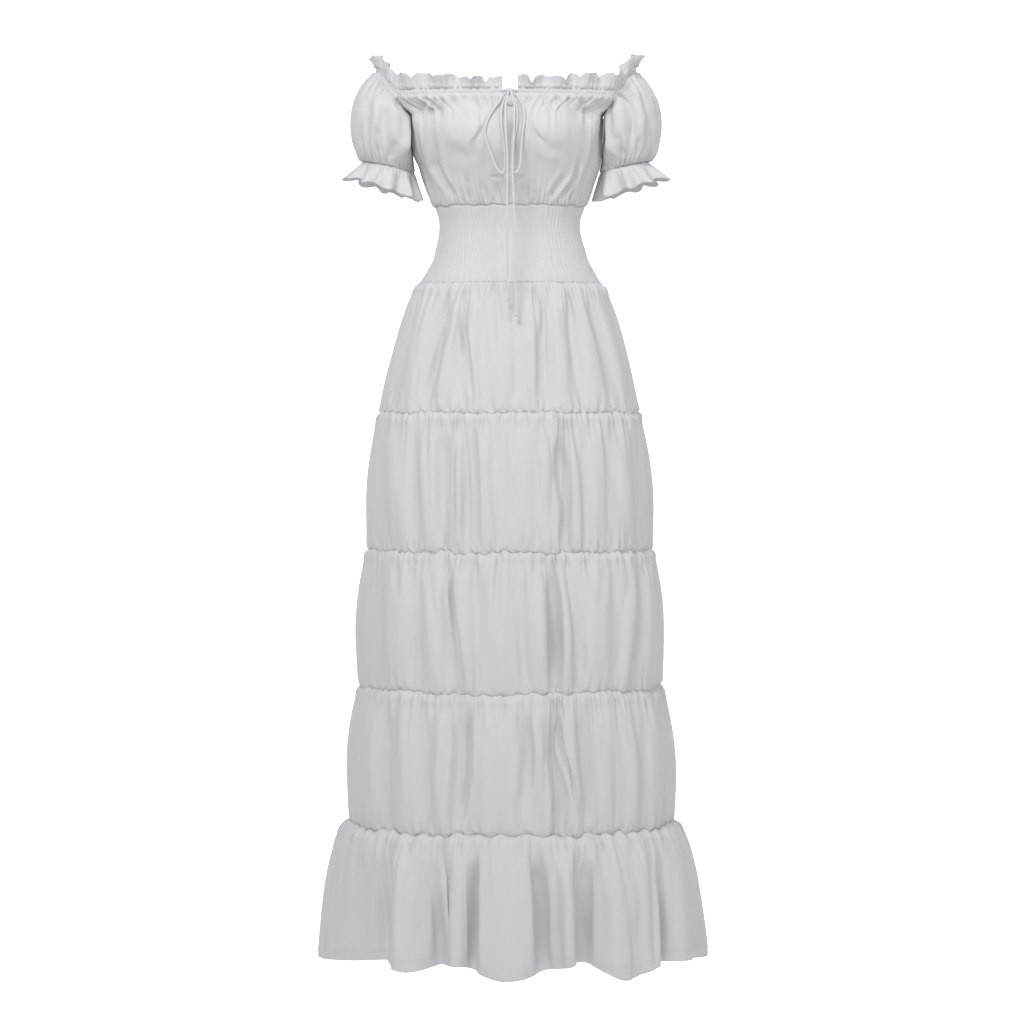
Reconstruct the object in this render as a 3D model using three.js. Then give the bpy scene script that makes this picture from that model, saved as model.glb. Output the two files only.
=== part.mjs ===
// A tiered, off-the-shoulder maxi dress, hollow and standing out as it is when worn.
// Millimetres, +Z up, the front faces -Y. The origin is the middle of the narrowest ring of the
// shirred waist, where the wearer holds the dress up.
import * as THREE from "three";

const { abs, asin, atan2, cos, max, min, PI, pow, sign, sin, sqrt } = Math;
const { clamp, degToRad, lerp, radToDeg, smoothstep } = THREE.MathUtils;

// Driving sizes
const CLOTH = 1.6; // wall of the main cloth
const FRILL_CLOTH = 1.2; // wall of the frills
const SEAM = 0.3; // gap between two sewn edges
const ROUNDNESS = 2.25; // exponent of the oval sections, where 2 is an ellipse
const WAIST_TOP = 32;
const WAIST_FOOT = -82;
const FIRST_TIER = 192; // height of the first tier
const TIER = 204; // height of each tier below it
const UNDERARM = 165; // height of the top of the side seam
const LEAN = -4.5; // the neckline and sleeves sit this far to one side of the waist

// Bodice and waist from the underarm down: half width, front and back depth at each level.
const TORSO = [
  { z: 165, half: 143, front: 117, back: 90, shift: -4 },
  { z: 140, half: 143, front: 120, back: 92, shift: -3.5 },
  { z: 112, half: 140, front: 118, back: 92, shift: -2 },
  { z: 92, half: 135, front: 111, back: 90, shift: 0 },
  { z: 68, half: 127, front: 101, back: 87, shift: 0.5 },
  { z: 45, half: 118.5, front: 92, back: 84, shift: 1 },
  { z: 32, half: 112.5, front: 88, back: 82, shift: 1.5 },
  { z: 15, half: 106.5, front: 84, back: 80, shift: 1 },
  { z: 0, half: 105.5, front: 82, back: 80, shift: 1 },
  { z: -15, half: 108, front: 83, back: 82, shift: 1.5 },
  { z: -30, half: 112, front: 86, back: 86, shift: 2 },
  { z: -45, half: 116, front: 90, back: 91, shift: 2.5 },
  { z: -60, half: 123.5, front: 95, back: 97, shift: 2.5 },
  { z: -82, half: 137, front: 102, back: 106, shift: 2 },
];

// The rings at the seams of the skirt, from the waist to the hem.
const RINGS = [
  { half: 137, front: 102, back: 106, shift: 2 },
  { half: 194, front: 143, back: 154, shift: 0.5 },
  { half: 212, front: 166, back: 174, shift: 1.5 },
  { half: 225, front: 187, back: 190, shift: 2 },
  { half: 242, front: 206, back: 208, shift: 4 },
  { half: 293, front: 250, back: 248, shift: 6 },
];

// How far each tier puffs out past a straight line between its rings, and where along it.
const PUFFS = [
  { out: 8.5, peak: 0.42 },
  { out: 9.5, peak: 0.52 },
  { out: 11.5, peak: 0.5 },
  { out: 12.5, peak: 0.46 },
  { out: 17, peak: 0.3 },
];

// How far the hem's front is lifted above its lowest level, by degrees round from the front.
const HEM_LIFT = [
  { z: 90, lift: 0 },
  { z: 58, lift: 14 },
  { z: 46, lift: 12 },
  { z: 31, lift: -2 },
  { z: 19, lift: 24 },
  { z: 10, lift: 16 },
  { z: -2, lift: 2 },
  { z: -15, lift: 22 },
  { z: -29, lift: 10 },
  { z: -41, lift: 19 },
  { z: -57, lift: 13 },
  { z: -90, lift: 0 },
];

// The troughs of each tier's main folds: degrees round from the front at the top and foot.
const FRONT_FOLDS = [
  [
    { top: -66, foot: -61, deep: 8 },
    { top: -37, foot: -37, deep: 13 },
    { top: -25, foot: -17, deep: 11 },
    { top: -12, foot: -10, deep: 6 },
    { top: 3, foot: 3, deep: 6 },
    { top: 17, foot: 14, deep: 14 },
    { top: 31, foot: 31, deep: 11 },
    { top: 48, foot: 54, deep: 10 },
    { top: 72, foot: 74, deep: 6 },
  ],
  [
    { top: -72, foot: -56, deep: 10 },
    { top: -42, foot: -35, deep: 9 },
    { top: -26, foot: -24, deep: 17 },
    { top: -16, foot: -13, deep: 13 },
    { top: -3, foot: -2, deep: 6 },
    { top: 9, foot: 10, deep: 8 },
    { top: 20, foot: 20, deep: 22 },
    { top: 29, foot: 29, deep: 9 },
    { top: 43, foot: 40, deep: 8 },
    { top: 66, foot: 61, deep: 9 },
  ],
  [
    { top: -60, foot: -57, deep: 12 },
    { top: -35, foot: -33, deep: 9 },
    { top: -22, foot: -17, deep: 22 },
    { top: -12, foot: -8, deep: 9 },
    { top: 2, foot: 5, deep: 8 },
    { top: 12, foot: 15, deep: 20 },
    { top: 20, foot: 22, deep: 14 },
    { top: 43, foot: 40, deep: 9 },
    { top: 62, foot: 50, deep: 13 },
    { top: 77, foot: 74, deep: 7 },
  ],
  [
    { top: -68, foot: -66, deep: 8 },
    { top: -49, foot: -46, deep: 14 },
    { top: -29, foot: -27, deep: 12 },
    { top: -16, foot: -18, deep: 28 },
    { top: 4, foot: 7, deep: 12 },
    { top: 14, foot: 13, deep: 24 },
    { top: 22, foot: 25, deep: 19 },
    { top: 38, foot: 38, deep: 7 },
    { top: 50, foot: 50, deep: 10 },
    { top: 70, foot: 67, deep: 9 },
  ],
  [
    { top: -48, foot: -43, deep: 34 },
    { top: -25, foot: -21, deep: 46 },
    { top: -12, foot: -11, deep: 26 },
    { top: 8, foot: 8.5, deep: 34 },
    { top: 24, foot: 21.5, deep: 50 },
    { top: 41, foot: 38, deep: 10 },
    { top: 56, foot: 50, deep: 30 },
    { top: 74, foot: 70, deep: 14 },
  ],
];
const BACK_FOLDS = [
  { count: 8, deep: 11, phase: 0.3 },
  { count: 8, deep: 14, phase: 0.9 },
  { count: 8, deep: 17, phase: 1.7 },
  { count: 8, deep: 20, phase: 2.4 },
  { count: 7, deep: 38, phase: 3.1 },
];
const SEAM_HOLD = 0.3; // share of a fold that is left at a sewn ring
const TIER_ROWS = [0, 0.16, 0.5, 0.84, 1];

// Neckline, sleeves and frills
const NECK = { half: 194, front: 106, back: 101, z: 198, rise: 39, frontRise: 156, backRise: 154, roundness: 2.4 };
const NECK_GAP = { from: -10, to: 13 }; // the casing is open between these at the front
const CASING = { height: 8, thick: 3.4 };
const NECK_FRILL = { front: 17, side: 23, shoulder: 19, waves: 22, swing: 7, lean: 6 };
const RAGLAN = { angle: 52, share: 2 / 3, spans: 5 }; // where the sleeve meets the neckline
const UNDERARM_POINT = { x: 146, y: 0, z: 170 };
const KEYHOLE_MIDDLE = 0.5;
const KEYHOLE = [
  { z: 198, half: 9 },
  { z: 180, half: 8.5 },
  { z: 160, half: 7.5 },
  { z: 140, half: 5.5 },
  { z: 118, half: 2.5 },
  { z: 96, half: 1.2 },
  { z: 71, half: 0.15 },
  { z: 32, half: 0.15 },
];
const CUPS = { angle: 29, z: 138, wide: 24, tall: 34, out: 12 };
const BINDING = { wide: 4.5, thick: 1 };

// Sections of a sleeve below the neckline, measured from the middle of the upper dress. The
// inner side of both sleeves moves towards +X by the shift.
const SLEEVE = [
  { outX: 213, outZ: 216, inX: 148.5, inZ: 163, deep: 67, shift: 0 },
  { outX: 227, outZ: 190, inX: 147, inZ: 150, deep: 69, shift: 1 },
  { outX: 232.5, outZ: 160, inX: 145.5, inZ: 134, deep: 68, shift: 2 },
  { outX: 230.5, outZ: 133, inX: 143.5, inZ: 116, deep: 63, shift: 2 },
  { outX: 224, outZ: 112, inX: 140.5, inZ: 98, deep: 54, shift: 2 },
  { outX: 215, outZ: 100, inX: 138, inZ: 84, deep: 45, shift: 2 },
];
const SLEEVE_MIDDLE = 3; // the sleeve's axis is this far behind the waist's
const SLEEVE_COLUMNS = 24;
const CUFF_FRILL = { outX: 242, outZ: 76, inX: 135, inZ: 43, deep: 69, shift: 4, waves: 10, swing: 6 };

// The drawstring, laid on the bodice: points in order from the knot
const CORD = 3.4; // diameter
const KNOT = { x: 1.5, y: -106, z: 196.8, radius: 5, neck: 1.7 };
const CORD_SIDES = 8;
const LOOP_LEFT = [
  [-3.3, -108.1, 193.9], [-9.2, -113, 189], [-13, -116.5, 182], [-23, -121, 168], [-32, -125.8, 150],
  [-35, -127.4, 134], [-31, -127.4, 117], [-24.5, -127, 99], [-18, -126.8, 83], [-11, -126.6, 75.5],
  [-5.6, -126.6, 83], [-5.4, -126.8, 100], [-7.5, -126.8, 122], [-10.5, -126.4, 146],
  [-10.5, -122, 168], [-7, -115.4, 183], [-3.6, -111.8, 187.8], [0, -107.9, 191],
];
const LOOP_RIGHT = [
  [7.1, -108.2, 194.3], [11.2, -112.8, 190], [15, -116.2, 184], [20.5, -119.6, 172],
  [23, -124.8, 156], [20.5, -127.2, 138], [18.5, -127.2, 120], [17.5, -127, 101], [15, -126.8, 83],
  [9, -126.6, 76], [4.2, -126.6, 85], [4.8, -126.8, 102], [7, -126.8, 122], [11, -127, 142],
  [12, -123.4, 164], [9.5, -116.8, 181], [6.8, -112.4, 187.2], [4.1, -108, 191.1],
];
const END_LEFT = [
  [-0.6, -111.2, 194.6], [-1.4, -116, 189], [-1.5, -122, 176], [-1.5, -130, 150], [-1.8, -131, 120],
  [-2, -131, 90], [-2.4, -131, 60], [-2.4, -131, 20], [-2, -131, -20], [-1.8, -131, -60],
  [-1.6, -131, -101],
];
const END_RIGHT = [
  [3.6, -111.2, 194.6], [4, -116, 189], [4.2, -122, 176], [4.5, -130, 150], [5, -131, 120],
  [5.2, -131, 90], [6, -131, 60], [7.8, -131, 20], [9.6, -131, -20], [10.2, -131, -60],
  [10.4, -131, -125],
];
const TIP = { length: 9, radius: 3.2 };

const CLOTH_WHITE = 0xe6e7ea;
const TRIM_WHITE = 0xf0f0f1;

// Small helpers

const point = (x, y, z) => new THREE.Vector3(x, y, z);

// Reads a column of a table that runs from high to low, with a smooth curve through its rows.
function read(table, column, z) {
  const last = table.length - 1;
  let i = 0;
  while (i < last - 1 && z < table[i + 1].z) i += 1;
  const [a, b] = [table[i], table[i + 1]];
  const slope = (k) => {
    const [p, q] = [table[max(k - 1, 0)], table[min(k + 1, last)]];
    return (q[column] - p[column]) / (q.z - p.z);
  };
  const h = b.z - a.z;
  const t = clamp((z - a.z) / h, 0, 1);
  const [t2, t3] = [t * t, t * t * t];
  return (
    (2 * t3 - 3 * t2 + 1) * a[column] +
    (t3 - 2 * t2 + t) * h * slope(i) +
    (3 * t2 - 2 * t3) * b[column] +
    (t3 - t2) * h * slope(i + 1)
  );
}

// A point on an oval, at an angle in degrees round from the front towards +X.
function oval(angle, { half, front, back, shift = 0 }, z, roundness = ROUNDNESS) {
  const [s, c] = [sin(degToRad(angle)), cos(degToRad(angle))];
  const bulge = (v) => sign(v) * pow(abs(v), 2 / roundness);
  return point(shift + half * bulge(s), -(c > 0 ? front : back) * bulge(c), z);
}

// The horizontal outward direction of a surface that runs round in the order of its angle.
function outward(before, after) {
  return point(after.y - before.y, before.x - after.x, 0).normalize();
}

// A closed wall between two grids of points, whose rows run down and columns run round.
function wall(outer, inner, round = false) {
  const [rows, columns] = [outer.length, outer[0].length];
  const positions = [...outer, ...inner].flat().flatMap((p) => p.toArray());
  const at = (side, row, column) => (side * rows + row) * columns + (column % columns);
  const faces = [];
  const quad = (a, b, c, d) => faces.push(a, b, c, a, c, d);
  const spans = round ? columns : columns - 1;
  for (let i = 0; i < spans; i += 1) {
    const next = (i + 1) % columns;
    for (let j = 0; j < rows - 1; j += 1) {
      const [tl, bl, br, tr] = [[j, i], [j + 1, i], [j + 1, i + 1], [j, i + 1]];
      const falling = outer[j][i].distanceTo(outer[j + 1][next]);
      const rising = outer[j + 1][i].distanceTo(outer[j][next]);
      const corners = falling < rising ? [tl, bl, br, tr] : [bl, br, tr, tl];
      quad(...corners.map((corner) => at(0, ...corner)));
      const [a, b, c, d] = corners.map((corner) => at(1, ...corner));
      quad(a, d, c, b);
    }
    quad(at(0, 0, i), at(0, 0, i + 1), at(1, 0, i + 1), at(1, 0, i));
    const foot = rows - 1;
    quad(at(0, foot, i), at(1, foot, i), at(1, foot, i + 1), at(0, foot, i + 1));
  }
  for (let j = 0; !round && j < rows - 1; j += 1) {
    const end = columns - 1;
    quad(at(0, j, 0), at(1, j, 0), at(1, j + 1, 0), at(0, j + 1, 0));
    quad(at(0, j, end), at(0, j + 1, end), at(1, j + 1, end), at(1, j, end));
  }
  const geometry = new THREE.BufferGeometry();
  geometry.setAttribute("position", new THREE.Float32BufferAttribute(positions, 3));
  geometry.setIndex(faces);
  return geometry;
}

// The inner grid of a wall: each point moved in by the wall's thickness, level with its partner.
function insideOf(outer, thickness, round = false) {
  return outer.map((row) =>
    row.map((p, i) => {
      const n = row.length;
      const before = round ? row[(i + n - 1) % n] : row[max(i - 1, 0)];
      const after = round ? row[(i + 1) % n] : row[min(i + 1, n - 1)];
      return p.clone().addScaledVector(outward(before, after), -thickness);
    }),
  );
}

function piece(name, geometry, color = CLOTH_WHITE) {
  const mesh = new THREE.Mesh(geometry, new THREE.MeshStandardMaterial({ color, roughness: 0.9 }));
  mesh.name = name;
  return mesh;
}

// Skirt: five tiers, each gathered on to the one above

const TIER_TOPS = PUFFS.map((_, k) => WAIST_FOOT - (k ? FIRST_TIER + (k - 1) * TIER : 0));
const HEM = WAIST_FOOT - FIRST_TIER - 4 * TIER;

function backFolds({ count, deep, phase }) {
  const step = 180 / count;
  return Array.from({ length: count }, (_, k) => {
    const middle = 90 + step * (k + 0.5);
    return {
      top: middle + 0.12 * step * sin(5 * k + phase),
      foot: middle + 0.14 * step * sin(3 * k + 2 * phase),
      deep: deep * (1 + 0.4 * sin(7 * k + phase)),
    };
  });
}

// The troughs of one tier at a share of its height, with the angle of each.
function troughs(folds, v) {
  return folds.map(({ top, foot, deep }) => ({ angle: lerp(top, foot, v), deep }));
}

// How far the cloth lies inside its oval at an angle: troughs with ridges halfway between.
function foldDepth(list, angle, from, to) {
  const at = list.findIndex((f, k) => k === list.length - 1 || angle < (f.angle + list[k + 1].angle) / 2);
  const fold = list[at];
  const before = at ? (list[at - 1].angle + fold.angle) / 2 : from;
  const after = at < list.length - 1 ? (list[at + 1].angle + fold.angle) / 2 : to;
  const reach = angle < fold.angle ? fold.angle - before : after - fold.angle;
  return fold.deep * pow(0.5 + 0.5 * cos((PI * (angle - fold.angle)) / reach), 1.5);
}

// A share of a tier's folds that shows at a share v of its height.
function foldShare(k, v) {
  if (k === PUFFS.length - 1) return lerp(SEAM_HOLD, 1, smoothstep(v, 0, 0.75));
  return SEAM_HOLD + (1 - SEAM_HOLD) * pow(sin(PI * v), 0.7);
}

function tierFold(k, side, angle, v) {
  const folds = side.folds[k];
  return foldDepth(troughs(folds, v), angle, side.from, side.to) * foldShare(k, v);
}

const SIDES = {
  front: { folds: FRONT_FOLDS, from: -90, to: 90 },
  back: { folds: BACK_FOLDS.map(backFolds), from: 90, to: 270 },
};

// A point on a tier's outside. The ring that it is sewn to sets its folds at the top.
function tierPoint(k, side, angle, v) {
  const height = k ? TIER : FIRST_TIER;
  const [upper, lower, puff] = [RINGS[k], RINGS[k + 1], PUFFS[k]];
  const swell = puff.out * pow(max(sin(PI * pow(v, Math.log(0.5) / Math.log(puff.peak))), 0), 0.8);
  const ring = {
    half: lerp(upper.half, lower.half, v) + swell,
    front: lerp(upper.front, lower.front, v) + swell,
    back: lerp(upper.back, lower.back, v) + swell,
    shift: lerp(upper.shift, lower.shift, v),
  };
  const own = tierFold(k, side, angle, v);
  const sewn = k ? tierFold(k - 1, side, angle, 1) : 0;
  const inset = lerp(sewn, own, smoothstep(v, 0, 0.3));
  const p = oval(angle, ring, TIER_TOPS[k] - v * height);
  const step = 0.5;
  const out = outward(oval(angle - step, ring, p.z), oval(angle + step, ring, p.z));
  p.addScaledVector(out, -inset);
  if (k === PUFFS.length - 1) p.z += hemLift(side, angle) * pow(v, 3);
  return p;
}

// The front's hem is lifted in its troughs by the table, and the back's by the depth of its folds.
function hemLift(side, angle) {
  if (side === SIDES.front) return read(HEM_LIFT, "lift", angle);
  return 0.45 * tierFold(PUFFS.length - 1, side, angle, 1);
}

// The columns of each fold: a ridge, a slope down, the trough and a slope up.
const FOLD_STOPS = [0.5];
const HEM_STOPS = [0.4, 0.75];

function foldColumns(side, k, v) {
  const list = troughs(side.folds[k], v).map((f) => f.angle);
  const ridges = [side.from, ...list.slice(1).map((a, i) => (a + list[i]) / 2), side.to];
  const stops = k === PUFFS.length - 1 ? HEM_STOPS : FOLD_STOPS;
  const columns = list.flatMap((trough, i) => {
    const down = stops.map((t) => lerp(ridges[i], trough, t));
    const up = stops.map((t) => lerp(ridges[i + 1], trough, t)).reverse();
    return [ridges[i], ...down, trough, ...up];
  });
  return [...columns, side.to];
}

// Moves a panel's first and last columns apart from its neighbour's by the seam's gap.
function sideSeam(rows, side) {
  const back = side === SIDES.back ? 1 : -1;
  rows.forEach((row) => {
    row[0].y = (back * SEAM) / 2;
    row[row.length - 1].y = (back * SEAM) / 2;
  });
  return rows;
}

function tierPanel(k, side) {
  const rows = TIER_ROWS.map((v) => foldColumns(side, k, v).map((a) => tierPoint(k, side, a, v)));
  rows[0].forEach((p) => (p.z -= SEAM));
  const outer = sideSeam(rows, side);
  const inner = sideSeam(insideOf(outer, CLOTH), side);
  return wall(outer, inner);
}

// Waist: a shirred band, its ribs raised over a plain inside

const RIB = 1.3; // height of a rib
const WAIST_ROWS = [WAIST_TOP, 0, -38, WAIST_FOOT];

function waistPanel(side, ribs) {
  const columns = ribs * 2;
  const angleOf = (i) => lerp(side.from, side.to, i / columns);
  const ring = (z) => ({
    half: read(TORSO, "half", z),
    front: read(TORSO, "front", z),
    back: read(TORSO, "back", z),
    shift: read(TORSO, "shift", z),
  });
  const grid = (inset) =>
    WAIST_ROWS.map((z) =>
      Array.from({ length: columns + 1 }, (_, i) => {
        const a = angleOf(i);
        const out = outward(oval(a - 1, ring(z), z), oval(a + 1, ring(z), z));
        return oval(a, ring(z), z).addScaledVector(out, -inset(i));
      }),
    );
  const outer = grid((i) => (i % 2 ? 0 : RIB));
  const inner = grid(() => RIB + CLOTH);
  return wall(sideSeam(outer, side), sideSeam(inner, side));
}

// Neckline: one oval through the front, both shoulders and the back

function neckPoint(angle, lift = 0, out = 0) {
  const ring = { half: NECK.half, front: NECK.front, back: NECK.back };
  const p = oval(angle, ring, 0, NECK.roundness);
  const rise = NECK.rise * smoothstep(abs(p.x), p.y < 0 ? NECK.frontRise : NECK.backRise, NECK.half);
  const along = outward(oval(angle - 1, ring, 0, NECK.roundness), oval(angle + 1, ring, 0, NECK.roundness));
  p.addScaledVector(along, out);
  return point(p.x + LEAN, p.y, NECK.z + rise + lift);
}

// The angle at which the neckline's front passes a given x.
function neckAngle(x) {
  const share = (x - LEAN) / NECK.half;
  return radToDeg(asin(sign(share) * pow(abs(share), NECK.roundness / 2)));
}

// Bodice: two fronts that part at the keyhole, and a back

// The neckline seam from its middle to the sleeve, then down the raglan seam to the underarm.
// The back runs the other way round, so its share comes with its own sign.
function bodiceTop(share, facing) {
  const [side, u] = [sign(share) || 1, abs(share)];
  const angleAt = (t) => (facing > 0 ? side * t * RAGLAN.angle : 180 - side * t * RAGLAN.angle);
  const seamDrop = -CASING.height / 2 - SEAM;
  if (u <= RAGLAN.share) return neckPoint(angleAt(u / RAGLAN.share), seamDrop);
  const t = (u - RAGLAN.share) / (1 - RAGLAN.share);
  const corner = neckPoint(angleAt(1), seamDrop);
  return point(
    lerp(corner.x, side * UNDERARM_POINT.x + LEAN, t) - (side * SEAM * 2) / 3,
    lerp(corner.y, UNDERARM_POINT.y, smoothstep(t, -0.6, 1) * 1.05 - 0.05 * t),
    lerp(corner.z, UNDERARM_POINT.z, pow(t, 0.75)),
  );
}

// The outside of the bodice, at a share across (-1 to 1 between side seams) and a share up.
function bodicePoint(share, up, facing) {
  const top = bodiceTop(share, facing);
  const z = lerp(WAIST_TOP + SEAM, top.z, up);
  const level = min(z, UNDERARM);
  const ring = {
    half: read(TORSO, "half", level),
    front: read(TORSO, "front", level),
    back: read(TORSO, "back", level),
    shift: read(TORSO, "shift", level),
  };
  const angle = facing > 0 ? 90 * share : 180 - 90 * share;
  const p = oval(angle, ring, z);
  if (facing > 0) {
    const across = (abs(angle) - CUPS.angle) / CUPS.wide;
    const over = (z - CUPS.z) / CUPS.tall;
    p.y -= CUPS.out * Math.exp(-across * across - over * over);
  }
  if (z > UNDERARM) {
    const t = smoothstep((z - UNDERARM) / (top.z - UNDERARM), 0, 1);
    p.x = lerp(p.x, top.x, t);
    p.y = lerp(p.y, top.y, t);
  }
  return p;
}

const NECK_SPANS = { front: 10, sleeve: 14, back: 18 }; // columns along each part of the neckline
const FRONT_COLUMNS = NECK_SPANS.front + RAGLAN.spans;
const BODICE_ROWS = 8;
const GATHER = { depth: 1.8, reach: 0.3 }; // soft gathers under the casing

function gathered(p, i, up, facing) {
  const near = smoothstep(up, 1 - GATHER.reach, 0.87) * (1 - smoothstep(up, 0.88, 1));
  p.y += facing * GATHER.depth * (i % 2) * near;
  return p;
}

// The share across at which a level of the front passes a given x.
function shareAt(x, up) {
  let [low, high] = [-0.5, 0.5];
  for (let turn = 0; turn < 30; turn += 1) {
    const middle = (low + high) / 2;
    if (bodicePoint(middle, up, 1).x < x) low = middle;
    else high = middle;
  }
  return (low + high) / 2;
}

// One front: its inner edge follows the keyhole and then the centre seam.
function bodiceFront(side) {
  const rows = Array.from({ length: BODICE_ROWS + 1 }, (_, j) => {
    const up = 1 - j / BODICE_ROWS;
    const half = max(read(KEYHOLE, "half", bodicePoint(0, up, 1).z), SEAM / 2);
    const edge = KEYHOLE_MIDDLE + side * half;
    const first = shareAt(edge, up);
    const second = shareAt(edge + side * BINDING.wide, up);
    return Array.from({ length: FRONT_COLUMNS + 1 }, (_, i) => {
      let share = (side * i) / FRONT_COLUMNS;
      if (i < NECK_SPANS.front) share = lerp(second, side * RAGLAN.share, (i - 1) / (NECK_SPANS.front - 1));
      if (i === 0) share = first;
      const gather = i > 1 && i < NECK_SPANS.front ? i % 2 : 0;
      return gathered(bodicePoint(share, up, 1), gather, up, 1);
    });
  });
  if (side < 0) rows.forEach((row) => row.reverse());
  return rows;
}

// Keeps a panel's edges flat, so that the walls of two neighbours don't meet.
function squareEdges(outer, inner, facing) {
  const at = (row, end) => row[end < 0 ? 0 : row.length - 1];
  outer.forEach((row, j) => {
    [-1, 1].forEach((end) => {
      const [o, i] = [at(row, end), at(inner[j], end)];
      if (abs(o.x) > UNDERARM_POINT.x / 2) {
        o.y = -facing * max(SEAM / 2, -facing * o.y);
        i.y = -facing * max(SEAM / 2, -facing * i.y);
      } else {
        i.x = o.x;
      }
    });
  });
  return wall(outer, inner);
}

const BACK_ROWS = 6;

function bodiceBack() {
  const { spans, share } = RAGLAN;
  const down = Array.from({ length: spans }, (_, i) => 1 - (i * (1 - share)) / spans);
  const across = Array.from({ length: NECK_SPANS.back + 1 }, (_, i) => share - (2 * share * i) / NECK_SPANS.back);
  const shares = [...down, ...across, ...down.map((s) => -s).reverse()];
  return Array.from({ length: BACK_ROWS + 1 }, (_, j) => {
    const up = 1 - j / BACK_ROWS;
    return shares.map((share, i) => {
      const gather = abs(share) < RAGLAN.share ? i % 2 : 0;
      return gathered(bodicePoint(share, up, -1), gather, up, -1);
    });
  });
}

// The keyhole's narrow turned edge: a strip laid on the front's own first column.
function binding(front, side) {
  const rows = front
    .map((row) => (side > 0 ? row.slice(0, 2) : row.slice(-2)))
    .filter(([p]) => p.z > 64)
    .map(([p, q]) => {
      const out = outward(p, q);
      return [SEAM, SEAM + BINDING.thick].map((gap) => [p, q].map((c) => c.clone().addScaledVector(out, gap)));
    });
  const [inner, outer] = [0, 1].map((k) => rows.map((row) => row[k]));
  return wall(outer, inner);
}

// Sleeves

const RAGLAN_TURN = RAGLAN.spans / SLEEVE_COLUMNS; // share of the ring that each raglan seam takes

// The sleeve's top edge, once round from the underarm by way of the front and the shoulder.
function sleeveTop(w) {
  const drop = -CASING.height / 2 - SEAM;
  const corner = (front) => neckPoint(front ? RAGLAN.angle : 180 - RAGLAN.angle, drop);
  const raglan = (t, front) => {
    const c = corner(front);
    return point(
      lerp(c.x, UNDERARM_POINT.x + LEAN, t) + (SEAM * 2) / 3,
      lerp(c.y, UNDERARM_POINT.y, smoothstep(t, -0.6, 1) * 1.05 - 0.05 * t),
      lerp(c.z, UNDERARM_POINT.z, pow(t, 0.75)),
    );
  };
  if (w < RAGLAN_TURN) return raglan(1 - w / RAGLAN_TURN, true);
  if (w > 1 - RAGLAN_TURN) return raglan(1 - (1 - w) / RAGLAN_TURN, false);
  const t = (w - RAGLAN_TURN) / (1 - 2 * RAGLAN_TURN);
  return neckPoint(lerp(RAGLAN.angle, 180 - RAGLAN.angle, t), drop);
}

function sleeveRing(w, side, { outX, outZ, inX, inZ, deep, shift }) {
  const turn = 2 * PI * w;
  const across = (1 - cos(turn)) / 2; // 0 at the underarm side and 1 at the outer side
  return point(
    side * lerp(inX, outX, across) + LEAN + shift * (1 - across),
    SLEEVE_MIDDLE - deep * sin(turn),
    lerp(inZ, outZ, across),
  );
}

// Thickens a sleeve grid, whose rows aren't level, along its own surface direction.
function insideOfTube(outer, thickness) {
  const [rows, columns] = [outer.length, outer[0].length];
  return outer.map((row, j) =>
    row.map((p, i) => {
      const round = row[(i + 1) % columns].clone().sub(row[(i + columns - 1) % columns]);
      const down = outer[min(j + 1, rows - 1)][i].clone().sub(outer[max(j - 1, 0)][i]);
      const out = down.cross(round).normalize();
      const inner = p.clone().addScaledVector(out, -thickness);
      if (j === 0) inner.z = min(inner.z, p.z);
      return inner;
    }),
  );
}

// Rows that run round the same way on both sides, so that their faces look outwards.
const inOrder = (rows, side) => (side < 0 ? rows.map((row) => [...row].reverse()) : rows);

function sleeveRows(side) {
  const columns = Array.from({ length: SLEEVE_COLUMNS }, (_, i) => i / SLEEVE_COLUMNS);
  const edge = columns.map((w) => {
    const p = sleeveTop(w);
    return side < 0 ? p.setX(2 * LEAN - p.x) : p;
  });
  const rings = SLEEVE.map((section) => columns.map((w) => sleeveRing(w, side, section)));
  return inOrder([edge, ...rings], side);
}

function cuffFrillRows(side) {
  const columns = CUFF_FRILL.waves * 4;
  const top = SLEEVE[SLEEVE.length - 1];
  const mid = Object.fromEntries(Object.keys(top).map((k) => [k, lerp(top[k], CUFF_FRILL[k], 0.5)]));
  const rows = [
    { section: top, swing: 0, drop: SEAM + 0.2 },
    { section: mid, swing: 0.6 * CUFF_FRILL.swing, drop: 0 },
    { section: CUFF_FRILL, swing: CUFF_FRILL.swing, drop: 0 },
  ].map(({ section, swing, drop }) => {
    const middle = point((side * (section.outX + section.inX)) / 2 + LEAN, SLEEVE_MIDDLE, 0);
    return Array.from({ length: columns }, (_, i) => {
      const p = sleeveRing(i / columns, side, section);
      const out = p.clone().sub(middle).setZ(0).normalize();
      p.addScaledVector(out, swing * sin((PI / 2) * i));
      p.z -= drop;
      return p;
    });
  });
  return inOrder(rows, side);
}

// Casing and frill of the neckline: open rings that part at the front

// The angles of the neckline's columns, from the gap's right end round to its left.
function neckAngles() {
  const { front, sleeve, back } = NECK_SPANS;
  const corner = RAGLAN.angle;
  const stops = [neckAngle(NECK_GAP.to), corner, 180 - corner, 180 + corner, 360 - corner, 360 + neckAngle(NECK_GAP.from)];
  return [front, sleeve, back, sleeve, front].flatMap((spans, k) =>
    Array.from({ length: spans + (k === 4) }, (_, i) => lerp(stops[k], stops[k + 1], i / spans)),
  );
}

function casing() {
  const angles = neckAngles();
  const ring = (out) => [CASING.height / 2, -CASING.height / 2].map((lift) => angles.map((a) => neckPoint(a, lift, out)));
  return wall(ring(CASING.thick / 2 - 0.8), ring(-CASING.thick / 2 - 0.8));
}

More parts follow.
